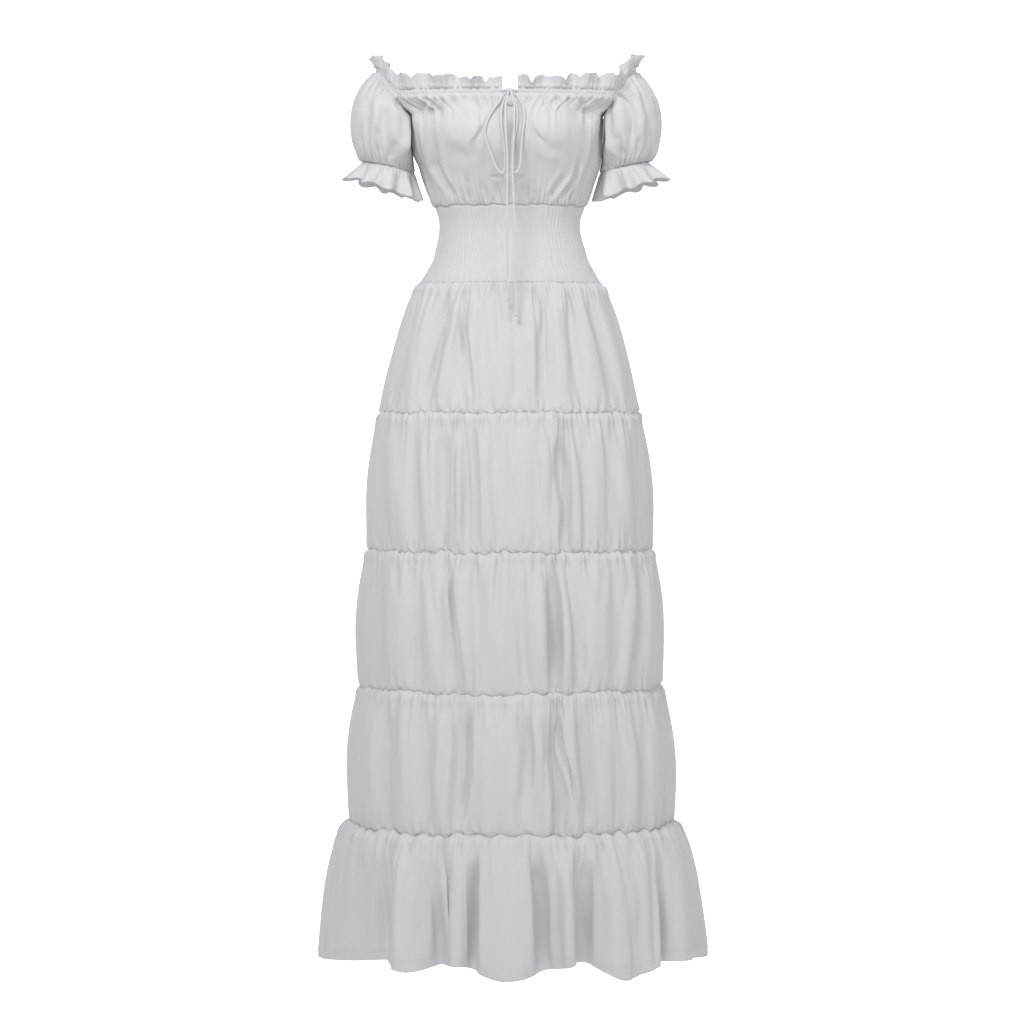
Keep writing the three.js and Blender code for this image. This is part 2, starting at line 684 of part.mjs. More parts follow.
function neckFrill() {
  const stations = neckAngles();
  const count = 2 * (stations.length - 1);
  const foot = CASING.height / 2 + SEAM;
  const ring = (share, out) =>
    Array.from({ length: count + 1 }, (_, i) => {
      const wave = NECK_FRILL.swing * share * sin((2 * PI * NECK_FRILL.waves * i) / count);
      const x = abs(neckPoint(stations[Math.floor(i / 2)]).x - LEAN);
      const side = lerp(NECK_FRILL.front, NECK_FRILL.side, smoothstep(x, 60, 130));
      const level = lerp(side, NECK_FRILL.shoulder, smoothstep(x, 165, 190));
      const height = level * share * (0.95 + 0.08 * sin(1.3 * i));
      const at = (k) => neckPoint(stations[k], foot + height, NECK_FRILL.lean * share + wave + out);
      return at(Math.floor(i / 2)).lerp(at(Math.ceil(i / 2)), 0.5);
    });
  const grid = (out) => [1, 0.45, 0].map((share) => ring(share, out));
  return wall(grid(0), grid(-FRILL_CLOTH));
}

// Drawstring

function cordTube(route, steps) {
  const path = new THREE.CatmullRomCurve3(route.map((p) => point(...p)), false, "centripetal");
  const section = new THREE.Shape();
  for (let i = 0; i < CORD_SIDES; i += 1) {
    const a = (2 * PI * i) / CORD_SIDES;
    section[i ? "lineTo" : "moveTo"]((CORD / 2) * cos(a), (CORD / 2) * sin(a));
  }
  return new THREE.ExtrudeGeometry(section, { extrudePath: path, steps, curveSegments: 1 });
}

// A turned solid about its own Z axis, from a profile of [radius, height].
const turned = (profile, sides) =>
  new THREE.LatheGeometry(profile.map(([r, z]) => new THREE.Vector2(r, z)), sides);

// The knot, with the stub of cord on each side of it that comes out of the casing.
function knot() {
  const half = (NECK_GAP.to - NECK_GAP.from) / 2 - SEAM;
  const { radius, neck } = KNOT;
  const profile = [
    [0, -half], [neck, -half], [neck, -5], [radius * 0.8, -3.8], [radius, -1.5],
    [radius, 1.5], [radius * 0.8, 3.8], [neck, 5], [neck, half], [0, half],
  ];
  const mesh = piece("tie_knot", turned(profile, 12), TRIM_WHITE);
  mesh.rotation.z = PI / 2;
  mesh.position.set(KNOT.x, KNOT.y, KNOT.z);
  return mesh;
}

function tip(name, route) {
  const end = route[route.length - 1];
  const { length, radius } = TIP;
  const profile = [
    [0, -length], [radius * 0.7, -length], [radius, -length * 0.7], [radius, -length * 0.3],
    [radius * 0.6, 0], [0, 0],
  ];
  const mesh = piece(name, turned(profile, 10), TRIM_WHITE);
  mesh.rotation.x = PI / 2;
  mesh.position.set(end[0], end[1], end[2] - SEAM);
  return mesh;
}

// The dress

function skirt() {
  const group = new THREE.Group();
  PUFFS.forEach((_, k) => {
    Object.entries(SIDES).forEach(([word, side]) => {
      group.add(piece(`tier_${k + 1}_${word}`, tierPanel(k, side)));
    });
  });
  return group;
}

function bodice() {
  const group = new THREE.Group();
  [["left", -1], ["right", 1]].forEach(([word, side]) => {
    const rows = bodiceFront(side);
    group.add(piece(`bodice_front_${word}`, squareEdges(rows, insideOf(rows, CLOTH), 1)));
    group.add(piece(`keyhole_edge_${word}`, binding(rows, side), TRIM_WHITE));
  });
  const back = bodiceBack();
  group.add(piece("bodice_back", squareEdges(back, insideOf(back, CLOTH), -1)));
  group.add(piece("waist_front", waistPanel(SIDES.front, 20)));
  group.add(piece("waist_back", waistPanel(SIDES.back, 16)));
  return group;
}

function sleeves() {
  const group = new THREE.Group();
  [["right", 1], ["left", -1]].forEach(([word, side]) => {
    const [tube, cuff] = [sleeveRows(side), cuffFrillRows(side)];
    group.add(piece(`sleeve_${word}`, wall(tube, insideOfTube(tube, CLOTH), true)));
    group.add(piece(`cuff_frill_${word}`, wall(cuff, insideOf(cuff, FRILL_CLOTH, true), true)));
  });
  return group;
}

function drawstring() {
  const group = new THREE.Group();
  group.add(knot());
  group.add(piece("tie_loop_left", cordTube(LOOP_LEFT, 28), TRIM_WHITE));
  group.add(piece("tie_loop_right", cordTube(LOOP_RIGHT, 26), TRIM_WHITE));
  group.add(piece("tie_end_left", cordTube(END_LEFT, 13), TRIM_WHITE));
  group.add(piece("tie_end_right", cordTube(END_RIGHT, 13), TRIM_WHITE));
  group.add(tip("tie_tip_left", END_LEFT), tip("tie_tip_right", END_RIGHT));
  return group;
}

const dress = new THREE.Group();
dress.add(piece("neck_casing", casing()), piece("neck_frill", neckFrill()));
dress.add(bodice(), sleeves(), skirt(), drawstring());

export default dress;
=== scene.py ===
# %% [markdown]
# # A tiered maxi dress in white cotton
#
# This lesson dresses the plain solids of a maxi dress: an off-the-shoulder neckline with a frill,
# short puff sleeves, a shirred waist and five gathered tiers. Each piece of cloth becomes a thin
# shell on the form of its solid. The shell is a grid of points, and every fold is a height that
# is added to the grid along its own surface direction.
#
# Sizes are written in millimetres, as on a pattern, and turned into metres when a mesh is made.
# +Z is up, the front faces -Y, and the origin is the middle of the waist.

import math

import bpy
import numpy as np
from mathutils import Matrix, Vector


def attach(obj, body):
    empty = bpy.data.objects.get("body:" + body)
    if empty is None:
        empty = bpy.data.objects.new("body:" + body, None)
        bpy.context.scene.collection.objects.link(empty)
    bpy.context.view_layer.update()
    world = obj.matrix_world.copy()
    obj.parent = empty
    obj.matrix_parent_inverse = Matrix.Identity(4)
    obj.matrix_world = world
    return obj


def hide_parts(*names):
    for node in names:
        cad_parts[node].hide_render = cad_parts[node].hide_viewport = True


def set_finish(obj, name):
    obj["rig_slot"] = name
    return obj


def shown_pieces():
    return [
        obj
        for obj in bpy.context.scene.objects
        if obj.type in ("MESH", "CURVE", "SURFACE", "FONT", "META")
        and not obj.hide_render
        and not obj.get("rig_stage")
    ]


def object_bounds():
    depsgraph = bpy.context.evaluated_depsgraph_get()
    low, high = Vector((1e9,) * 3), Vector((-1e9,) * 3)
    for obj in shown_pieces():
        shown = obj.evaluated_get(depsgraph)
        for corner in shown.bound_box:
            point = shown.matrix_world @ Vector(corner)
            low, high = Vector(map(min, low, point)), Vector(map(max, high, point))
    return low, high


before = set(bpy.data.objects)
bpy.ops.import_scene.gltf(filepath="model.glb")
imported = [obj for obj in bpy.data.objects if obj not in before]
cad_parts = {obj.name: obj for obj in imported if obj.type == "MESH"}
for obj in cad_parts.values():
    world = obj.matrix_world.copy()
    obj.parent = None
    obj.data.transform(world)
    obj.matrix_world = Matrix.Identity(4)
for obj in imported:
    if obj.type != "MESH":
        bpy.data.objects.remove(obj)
solid_box = [list(corner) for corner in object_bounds()]
MM = 0.001
print("solids:", len(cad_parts), "box:", solid_box)

# %% [markdown]
# ## The camera
#
# The whole dress stands in the picture with little perspective, so the camera is far away and its
# lens is long. It is a little above the middle of the dress and looks slightly down.

# %% Camera
CAMERA = {"x": 4.5, "distance": 5000, "z": -255, "aim_z": -423, "lens": 117.25}

camera_data = bpy.data.cameras.new("camera")
camera_data.lens = CAMERA["lens"]
camera_data.sensor_width = 36
camera = bpy.data.objects.new("camera", camera_data)
bpy.context.scene.collection.objects.link(camera)
camera.location = (CAMERA["x"] * MM, -CAMERA["distance"] * MM, CAMERA["z"] * MM)
tilt = math.atan2(CAMERA["z"] - CAMERA["aim_z"], CAMERA["distance"])
camera.rotation_euler = (math.pi / 2 - tilt, 0, 0)
bpy.context.scene.camera = camera
print("camera looks down by", round(math.degrees(tilt), 2), "degrees")

# %% [markdown]
# ## Meshes from grids
#
# A piece of cloth is woven in rows and columns, and so is its mesh. Rows run down the piece and
# columns run round it to the right, so the faces look outwards. The UV map holds real metres along
# the cloth, which later sets the size of the weave.


# %% Lengths and directions
def run_along(points):
    """The length from the first point of a line to each of its points."""
    steps = np.linalg.norm(np.diff(points, axis=0), axis=1)
    return np.concatenate([[0], np.cumsum(steps)])


def along_rows(grid, closed):
    """The length along the middle row of a grid, at each column."""
    row = grid[len(grid) // 2]
    return run_along(np.vstack([row, row[:1]]) if closed else row)


def down_columns(grid):
    """The mean length down a grid, at each row."""
    steps = np.linalg.norm(np.diff(grid, axis=0), axis=2).mean(axis=1)
    return np.concatenate([[0], np.cumsum(steps)])


def unit(vectors):
    """The same directions, each with the length 1."""
    return vectors / np.maximum(np.linalg.norm(vectors, axis=-1), 1e-9)[..., None]


# %% Grid meshes
def mesh_object(name, grid, closed=False):
    """A smooth mesh object from a grid of points in millimetres."""
    rows, columns = grid.shape[:2]
    spans = columns if closed else columns - 1
    j, i = np.meshgrid(np.arange(rows - 1), np.arange(spans), indexing="ij")
    after = (i + 1) % columns
    corners = [j * columns + i, (j + 1) * columns + i, (j + 1) * columns + after, j * columns + after]
    faces = np.stack(corners, axis=-1).reshape(-1, 4)
    across = along_rows(grid, closed) * MM
    down = down_columns(grid) * MM
    u = np.stack([across[i], across[i], across[i + 1], across[i + 1]], axis=-1)
    v = -np.stack([down[j], down[j + 1], down[j + 1], down[j]], axis=-1)

    mesh = bpy.data.meshes.new(name)
    mesh.vertices.add(rows * columns)
    mesh.vertices.foreach_set("co", (grid * MM).astype(np.float32).ravel())
    mesh.loops.add(faces.size)
    mesh.loops.foreach_set("vertex_index", faces.astype(np.int32).ravel())
    mesh.polygons.add(len(faces))
    mesh.polygons.foreach_set("loop_start", np.arange(0, faces.size, 4, dtype=np.int32))
    mesh.polygons.foreach_set("use_smooth", np.ones(len(faces), bool))
    layer = mesh.uv_layers.new(name="cloth metres")
    layer.data.foreach_set("uv", np.stack([u, v], axis=-1).astype(np.float32).ravel())
    mesh.update(calc_edges=True)
    mesh.validate()
    obj = bpy.data.objects.new(name, mesh)
    bpy.context.scene.collection.objects.link(obj)
    return obj


def add_to_dress(obj, slot, nodes):
    """Puts a finished piece on the dress in place of its plain solids."""
    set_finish(obj, slot)
    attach(obj, "root")
    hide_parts(*nodes)
    return obj


# %% [markdown]
# ## The drawstring
#
# The drawstring is a round woven cord, about 3.4 mm thick. It leaves the casing at the front,
# makes a bow with two hanging loops and ends in two free ends with a knot on each. Each stretch is
# a tube along a smooth curve through the points of its route, which lies on the bodice.

# %% Cord routes
ROUTES = {
    "tie_loop_left": [
        (-3.3, -108.1, 193.9), (-9.2, -113, 189), (-13, -116.5, 182), (-23, -121, 168),
        (-32, -125.8, 150), (-35, -127.4, 134), (-31, -127.4, 117), (-24.5, -127, 99),
        (-18, -126.8, 83), (-11, -126.6, 75.5), (-5.6, -126.6, 83), (-5.4, -126.8, 100),
        (-7.5, -126.8, 122), (-10.5, -126.4, 146), (-10.5, -122, 168), (-7, -115.4, 183),
        (-3.6, -111.8, 187.8), (0, -107.9, 191),
    ],
    "tie_loop_right": [
        (7.1, -108.2, 194.3), (11.2, -112.8, 190), (15, -116.2, 184), (20.5, -119.6, 172),
        (23, -124.8, 156), (20.5, -127.2, 138), (18.5, -127.2, 120), (17.5, -127, 101),
        (15, -126.8, 83), (9, -126.6, 76), (4.2, -126.6, 85), (4.8, -126.8, 102),
        (7, -126.8, 122), (11, -127, 142), (12, -123.4, 164), (9.5, -116.8, 181),
        (6.8, -112.4, 187.2), (4.1, -108, 191.1),
    ],
    "tie_end_left": [
        (-0.6, -111.2, 194.6), (-2, -116, 189), (-4.8, -122, 176), (-5, -130, 150),
        (-3.6, -131, 120), (-2, -131, 90), (-2.4, -131, 60), (-2.4, -131, 20), (-2, -131, -20),
        (-1.8, -131, -60), (-1.6, -131, -101),
    ],
    "tie_end_right": [
        (3.6, -111.2, 194.6), (4.4, -116, 189), (7.6, -122, 176), (7.8, -130, 150),
        (6.6, -131, 120), (5.2, -131, 90), (6, -131, 60), (7.8, -131, 20), (9.6, -131, -20),
        (10.2, -131, -60), (10.4, -131, -125),
    ],
}


# %% Smooth routes and tubes
def hermite(a, b, leave, arrive, t):
    """A smooth way from a to b that leaves and arrives with the given slopes."""
    return (
        (2 * t**3 - 3 * t**2 + 1) * a
        + (t**3 - 2 * t**2 + t) * leave
        + (3 * t**2 - 2 * t**3) * b
        + (t**3 - t**2) * arrive
    )


def smooth_route(points, step):
    """A centripetal curve through the points, sampled about every step millimetres."""
    points = np.array(points, float)
    points = np.vstack([2 * points[0] - points[1], points, 2 * points[-1] - points[-2]])
    out = []
    for a, b, c, d in zip(points, points[1:], points[2:], points[3:]):
        before, here, after = (math.sqrt(np.linalg.norm(q - p)) for p, q in ((a, b), (b, c), (c, d)))
        start = here * ((b - a) / before - (c - a) / (before + here) + (c - b) / here)
        end = here * ((c - b) / here - (d - b) / (here + after) + (d - c) / after)
        count = max(2, round(np.linalg.norm(c - b) / step))
        t = np.linspace(0, 1, count, endpoint=False)[:, None]
        out.append(hermite(b, c, start, end, t))
    return np.vstack([*out, points[-2:-1]])


def tube_grid(line, radius, sides):
    """Rings of points round a line: one row to each point of the line."""
    ahead = unit(np.gradient(line, axis=0))
    side = unit(np.cross(ahead, (0, 1, 0)))
    up = np.cross(side, ahead)
    turn = np.linspace(0, 2 * math.pi, sides, endpoint=False)[None, :, None]
    return line[:, None] + radius * (np.cos(turn) * side[:, None] + np.sin(turn) * up[:, None])


# %% The four stretches of cord
CORD = {"thick": 3.4, "sides": 12, "step": 1.6}

cord_lines = {name: smooth_route(points, CORD["step"]) for name, points in ROUTES.items()}
cords = {}
for name, line in cord_lines.items():
    grid = tube_grid(line, CORD["thick"] / 2, CORD["sides"])
    cords[name] = mesh_object(name.replace("_", "-"), grid, True)
    print(name, "is", round(run_along(line)[-1]), "mm long")

# %% [markdown]
# The bow's knot is the cord wound over itself: two short turns over the stub that joins the two
# ends of the casing. Each end knot is a small overhand knot, drawn tight to a bead. Both are made
# as round profiles with the grooves of their turns.

# %% Profiles of the knots
KNOT_PLACE = (1.5, -106, 196.8)
KNOT_PROFILE = [
    (0.2, 11.2), (1.6, 11), (1.7, 5.6), (3.6, 4.6), (4.9, 2.4), (4.3, 0.2), (4.9, -1.8),
    (4.2, -4.2), (1.7, -5.6), (1.6, -11), (0.2, -11.2),
]
TIP_PROFILE = [(0.5, 0), (2.2, -0.5), (3.1, -2.6), (2.6, -4.4), (3.1, -6.2), (2, -8.4), (0.3, -9)]
GROOVED_FROM = 2  # thinner stretches of a profile are plain


def turned_grid(profile, sides, ripple):
    """Rings round the Z axis from a falling profile of (radius, height), with slanting grooves."""
    radii, heights = np.array(profile, float).T
    z = np.linspace(heights[0], heights[-1], 28)[:, None]
    turn = np.linspace(0, 2 * math.pi, sides, endpoint=False)
    radius = np.interp(-z, -heights, radii)
    ring = radius * (1 - ripple * np.cos(2 * turn + 1.5 * z) * (radius > GROOVED_FROM))
    return np.stack([ring * np.cos(turn), ring * np.sin(turn), z + 0 * ring], axis=-1)


# %% Knots
knot_grid = turned_grid(KNOT_PROFILE, 28, 0.07)[:, ::-1, [2, 1, 0]] + KNOT_PLACE
knot = mesh_object("tie-knot", knot_grid, True)
tips = {}
for side in ("left", "right"):
    tip_grid = turned_grid(TIP_PROFILE, 24, 0.08) + ROUTES["tie_end_" + side][-1]
    tips[side] = mesh_object("tie-tip-" + side, tip_grid, True)
print("knots:", 1 + len(tips))

# %% The cords on the dress
add_to_dress(knot, "trim", ["tie_knot"])
for side, tip in tips.items():
    add_to_dress(tip, "trim", ["tie_tip_" + side])
for name, cord in cords.items():
    line = cord_lines[name]
    add_to_dress(cord, "trim", [name])
print("cords on the dress:", len(cords), "stretches,", CORD["thick"], "mm thick")

# %% [markdown]
# ## Reading the pattern
#
# The tables below are the same as those of the solids: a curve through a few rows gives the size of
# the torso at any height, and an oval a little squarer than an ellipse gives its section.


# %% Curves through a table
def read(rows, column, at):
    """A smooth curve through one column of a table of rows, whose first column is the position."""
    table = np.array(sorted(rows), float)
    x, y = table[:, 0], table[:, column]
    at = np.asarray(at, float)
    k = np.clip(np.searchsorted(x, at, side="right") - 1, 0, len(x) - 2)
    low = np.maximum(np.arange(len(x)) - 1, 0)
    high = np.minimum(np.arange(len(x)) + 1, len(x) - 1)
    slope = (y[high] - y[low]) / (x[high] - x[low])
    step = x[k + 1] - x[k]
    t = np.clip((at - x[k]) / step, 0, 1)
    return hermite(y[k], y[k + 1], step * slope[k], step * slope[k + 1], t)


def mix(a, b, t):
    return a + (b - a) * t


def smoothstep(x, low, high):
    t = np.clip((x - low) / (high - low), 0, 1)
    return t * t * (3 - 2 * t)


def near(distance, reach, start=0):
    """1 at a seam, and 0 from the reach on."""
    return 1 - smoothstep(distance, start, reach)


def hump(x, middle, wide):
    """A round hump of height 1, about a third as high at a width from its middle."""
    return np.exp(-(((x - middle) / wide) ** 2))


def crowded(t, amount):
    """Shares from 0 to 1 that lie closer together near both ends."""
    return t - amount * np.sin(2 * np.pi * t) / (2 * np.pi)


# %% Ovals and outward directions
def signed_power(x, power):
    return np.sign(x) * np.abs(x) ** power


def oval(angle, half, front, back, shift, z, roundness=2.25):
    """Points on an oval, at angles in degrees round from the front towards +X."""
    turn = np.radians(angle)
    x = shift + half * signed_power(np.sin(turn), 2 / roundness)
    y = -np.where(np.cos(turn) > 0, front, back) * signed_power(np.cos(turn), 2 / roundness)
    return np.stack(np.broadcast_arrays(x, y, z), axis=-1).astype(float)


def level_out(before, after):
    """The level outward direction of a surface that runs round from before to after."""
    run = after - before
    return unit(np.stack([run[..., 1], -run[..., 0], 0 * run[..., 0]], axis=-1))


def surface_out(grid, closed=False):
    """The outward direction of a grid at each point."""
    if closed:
        ring = np.concatenate([grid[:, -1:], grid, grid[:, :1]], axis=1)
        across = ring[:, 2:] - ring[:, :-2]
    else:
        across = np.gradient(grid, axis=1)
    return unit(np.cross(np.gradient(grid, axis=0), across))


def levelled(out):
    """The same directions without their rise, so that sewn edges stay on one ring."""
    return unit(out * (1, 1, 0))


# %% [markdown]
# ## How cloth folds
#
# Two kinds of fold cover this dress. A *crease* is a line with a place, a width and a depth of its
# own, read from the dress: the cloth sinks along the line and rises a little on both sides, because
# it has to go somewhere. *Gathers* come from a seam that holds more cloth than its length: many
# short pleats of uneven size that leave the seam side by side and fade out.


# %% Creases
RIDGE = {"height": 0.38, "away": 1.9, "wide": 0.8}  # beside a groove that is 1 deep and 1 wide


def groove(distance):
    """A groove with a low ridge on each side, at a distance in widths."""
    away = np.abs(distance)
    return RIDGE["height"] * hump(away, RIDGE["away"], RIDGE["wide"]) - hump(away, 0, 1)


def crease(x, z, points, wide, deep, fade=0.3):
    """The height of one crease along a line of (x, z) points, seen from the front."""
    run = run_along(np.array(points, float))
    best = np.full(np.shape(x), 1e9)
    share = np.zeros(np.shape(x))
    for (ax, az), (bx, bz), start, end in zip(points, points[1:], run, run[1:]):
        t = np.clip(((x - ax) * (bx - ax) + (z - az) * (bz - az)) / (end - start) ** 2, 0, 1)
        away = np.hypot(x - ax - t * (bx - ax), z - az - t * (bz - az))
        share = np.where(away < best, mix(start, end, t) / run[-1], share)
        best = np.minimum(away, best)
    ends = smoothstep(share, 0, fade) * smoothstep(1 - share, 0, fade)
    return deep * (0.15 + 0.85 * ends) * groove(best / wide) * np.exp(-np.maximum(best - 4 * wide, 0))


def creases(x, z, lines):
    """The height of a list of creases: (width, depth, points)."""
    return sum(crease(x, z, points, wide, deep) for wide, deep, *points in lines)


def moved(lines, scale=1, shift=0, depth=1):
    """The same creases, for the other side of a piece."""
    return [(wide, depth * deep, *[(scale * x + shift, z) for x, z in line]) for wide, deep, *line in lines]


# %% Gathers and ripples
def gathers(along, drop, girth, seed, pleats, loop=True):
    """The height of seeded pleats that leave a seam of the given length and fade with the drop.

    The pleats are their mean distance, and the ranges of their width, depth and length.
    """
    pitch, wide, deep, long = pleats
    rng = np.random.default_rng(seed)
    height = np.zeros(np.broadcast(along, drop).shape)
    at = rng.uniform(0, pitch)
    while at < girth:
        width = rng.uniform(*wide)
        depth = rng.uniform(*deep)
        reach = long[0] + (long[1] - long[0]) * rng.random() ** 2.2
        drift = rng.normal(0, 0.05)
        away = along - at - drift * drop
        if loop:
            away = (away + girth / 2) % girth - girth / 2
        spread = width * (0.75 + 0.9 * drop / (reach + 25))
        height += depth * hump(drop, 0, reach) * groove(away / spread)
        at += pitch * rng.uniform(0.45, 1.6)
    return height


def ripples(angle, seed, counts, size):
    """A smooth uneven wave round the dress: a sum of seeded waves that closes after one turn."""
    rng = np.random.default_rng(seed)
    total = sum(rng.normal(0, 1) * np.sin(np.radians(angle) * n + rng.uniform(0, 6.3)) for n in counts)
    return size * total / math.sqrt(len(counts) / 2)


# %% Thin shells
CLOTH = 0.5
DETAIL = 1.0


def cloth_piece(name, grid, nodes, closed=True):
    """A piece of cloth on the dress: a grid with its thickness on the inner side."""
    obj = mesh_object(name, grid, closed)
    shell = obj.modifiers.new("cloth thickness", "SOLIDIFY")
    shell.thickness = CLOTH * MM
    shell.offset = -1
    return add_to_dress(obj, "cloth", nodes)


print("cloth is", CLOTH, "mm thick")

# %% [markdown]
# ## The skirt
#
# Five tiers hang one from another. Each is a straight strip of cotton, cut wider than the seam that
# it is gathered on to, so it puffs out below the seam and falls in deep soft folds. The folds are
# placed one by one: the angle of each trough at the tier's top and foot, and its depth. Their
# spacing is uneven, because the cloth slides along its thread as it is gathered.

# %% Sizes of the skirt
# The rings are (half width, front, back, shift) at the seams and the hem, a puff is (swell, where it
# is widest) and the hem's lifts are (angle, rise).
WAIST_TOP, WAIST_FOOT = 32, -82
TIER_HEIGHTS = [192, 204, 204, 204, 204]
LAST_TIER = len(TIER_HEIGHTS) - 1
RINGS = [
    (137, 102, 106, 2), (194, 143, 154, 0.5), (212, 166, 174, 1.5),
    (225, 187, 190, 2), (242, 206, 208, 4), (293, 250, 248, 6),
]
PUFFS = [(8.5, 0.42), (9.5, 0.52), (11.5, 0.5), (12.5, 0.46), (17, 0.3)]
HEM_LIFT = [
    (90, 0), (58, 14), (46, 12), (31, -2), (19, 24), (10, 16), (-2, 2), (-15, 22), (-29, 10),
    (-41, 19), (-57, 13), (-90, 0),
]
SEAM_HOLD = 0.3
TUCK = 0.6  # a gathered edge lies this far behind the edge that it is sewn to
print("skirt is", sum(TIER_HEIGHTS), "mm long, in", len(TIER_HEIGHTS), "tiers")

# %% Large folds of the skirt
# On the front each fold is (angle at the top, angle at the foot, depth), and on the back each tier
# has (number of folds, depth, how they are shifted).
FRONT_FOLDS = [
    [
        (-66, -61, 8), (-37, -37, 13), (-25, -17, 11), (-12, -10, 6), (3, 3, 6), (17, 14, 14),
        (31, 31, 11), (48, 54, 10), (72, 74, 6),
    ],
    [
        (-72, -56, 10), (-42, -35, 9), (-26, -24, 17), (-16, -13, 13), (-3, -2, 6), (9, 10, 8),
        (20, 20, 22), (29, 29, 9), (43, 40, 8), (66, 61, 9),
    ],
    [
        (-60, -57, 12), (-35, -33, 9), (-22, -17, 13), (-12, -8, 9), (2, 5, 8), (12, 15, 20),
        (20, 22, 14), (43, 40, 9), (62, 50, 13), (77, 74, 7),
    ],
    [
        (-68, -66, 8), (-49, -46, 14), (-29, -27, 12), (-14, -17, 18), (4, 7, 12), (14, 13, 24),
        (22, 25, 19), (38, 38, 7), (50, 50, 10), (70, 67, 9),
    ],
    [
        (-48, -43, 31), (-25, -21, 38), (-12, -11, 24), (8, 8.5, 30), (24, 21.5, 39),
        (41, 38, 10), (56, 50, 26), (74, 70, 14),
    ],
]
BACK_FOLDS = [(8, 11, 0.3), (8, 14, 0.9), (8, 17, 1.7), (8, 20, 2.4), (7, 38, 3.1)]

# %% [markdown]
# The creases of the front are lines of (x, z) points. Each has its width and depth before its
# points. Tier by tier they run from crisp, narrow ones near a seam to long, soft ones.

# %% Creases of the skirt's front
SKIRT_CREASES = [
    [
        (5, 4.2, (-88, -90), (-90, -150), (-103, -190), (-114, -240)),
        (5, 1.6, (-104, -200), (-113, -235), (-117, -273)),
        (4, 5, (-70, -130), (-60, -195), (-53, -262)),
        (6, 5, (45, -135), (46, -200), (45, -273)),
        (6, 2.2, (77, -112), (92, -185), (95, -270)),
        (6, 2.6, (116, -108), (139, -169), (155, -221), (165, -270)),
        (5, 2, (-124, -92), (-135, -138), (-148, -172)),
        (3.5, 1.8, (-46, -92), (-43, -154)),
        (4, 2.6, (-13, -88), (-8, -118), (-5, -160)),
        (4, 1.5, (-24, -110), (-20, -185)),
        (4, 1.6, (62, -90), (66, -160)),
        (5, 1.5, (12, -180), (8, -268)),
        (4, 1.6, (-132, -200), (-142, -268)),
    ],
    [
        (5, 6, (-82, -281), (-84, -356), (-82, -424), (-90, -468)),
        (5, 2, (-123, -286), (-118, -377), (-116, -440)),
        (3.4, 5.5, (-52, -284), (-48, -340), (-46, -400), (-46, -471)),
        (5, 2, (-22, -284), (-25, -377), (-12, -471)),
        (5, 1.8, (4, -289), (14, -356), (9, -430)),
        (9, 8, (60, -282), (68, -356), (62, -419), (70, -470)),
        (5, 2.4, (81, -300), (88, -377), (79, -471)),
        (7, 2.2, (141, -310), (157, -367), (170, -455)),
        (4, 2, (38, -284), (56, -346)),
        (6, 1.8, (-160, -294), (-161, -398)),
        (5, 1.6, (112, -290), (116, -345)),
        (5, 1.6, (-66, -400), (-68, -470)),
    ],
    [
        (3.2, 6, (-85, -486), (-83, -545), (-77, -590), (-70, -640), (-65, -680)),
        (5, 2.2, (-120, -490), (-106, -584), (-104, -620)),
        (10, 8, (72, -486), (68, -584), (66, -672)),
        (5, 2, (140, -490), (133, -560)),
        (6, 2.2, (184, -490), (167, -570), (163, -671)),
        (5, 1.8, (-167, -486), (-159, -550)),
        (6, 2.4, (16, -570), (24, -673)),
        (4, 2, (-48, -625), (-43, -674)),
        (5, 1.8, (-20, -490), (-14, -590)),
        (4, 1.8, (36, -488), (42, -545)),
        (5, 1.6, (104, -600), (112, -672)),
        (5, 1.7, (-138, -590), (-144, -672)),
    ],
    [
        (4, 7.5, (-63, -688), (-57, -740), (-58, -790), (-70, -872)),
        (6, 2.6, (-159, -692), (-167, -753), (-162, -864)),
        (5, 2.6, (-92, -692), (-92, -753), (-101, -840)),
        (8, 5, (18, -692), (29, -753), (18, -868)),
        (8, 7, (52, -690), (57, -770), (46, -862)),
        (3.2, 6.5, (68, -692), (76, -761), (92, -812), (108, -866)),
        (6, 2, (126, -700), (118, -770)),
        (7, 2.2, (173, -706), (173, -860)),
        (6, 1.8, (201, -697), (198, -840)),
        (4, 1.8, (-126, -800), (-130, -874)),
        (4, 1.8, (-20, -690), (-22, -745)),
    ],
    [
        (9, 9, (-176, -896), (-180, -1000), (-181, -1095)),
        (11, 17, (-97, -888), (-92, -960), (-92, -1095)),
        (6, 14, (-49, -898), (-50, -960), (-52, -1095)),
        (8, 14, (40, -898), (46, -980), (47, -1095)),
        (10, 17, (101, -888), (106, -980), (107, -1095)),
        (9, 9, (213, -900), (216, -1095)),
        (7, -2.6, (189, -900), (183, -1010)),
        (6, 1.8, (-140, -898), (-146, -960)),
        (6, 1.8, (4, -898), (6, -960)),
        (6, 1.8, (146, -898), (150, -970)),
    ],
]
print("creases on the front of each tier:", [len(lines) for lines in SKIRT_CREASES])

# %% [markdown]
# A tier's main form is an oval that grows from its upper ring to its lower one, swells between
# them and is drawn in at each trough. The seam above sets how the cloth starts, and it takes a
# third of the height until the tier's own folds are free.


# %% Folds of a tier
def back_folds(count, deep, phase):
    step = 180 / count
    k = np.arange(count)
    middle = 90 + step * (k + 0.5)
    top = middle + 0.12 * step * np.sin(5 * k + phase)
    foot = middle + 0.14 * step * np.sin(3 * k + 2 * phase)
    return list(zip(top, foot, deep * (1 + 0.4 * np.sin(7 * k + phase))))


ALL_FOLDS = [(front, back_folds(*back)) for front, back in zip(FRONT_FOLDS, BACK_FOLDS)]
TIER_TOPS = [WAIST_FOOT - sum(TIER_HEIGHTS[:k]) for k in range(len(TIER_HEIGHTS))]
print("large folds of each tier:", [len(front) + len(back) for front, back in ALL_FOLDS])


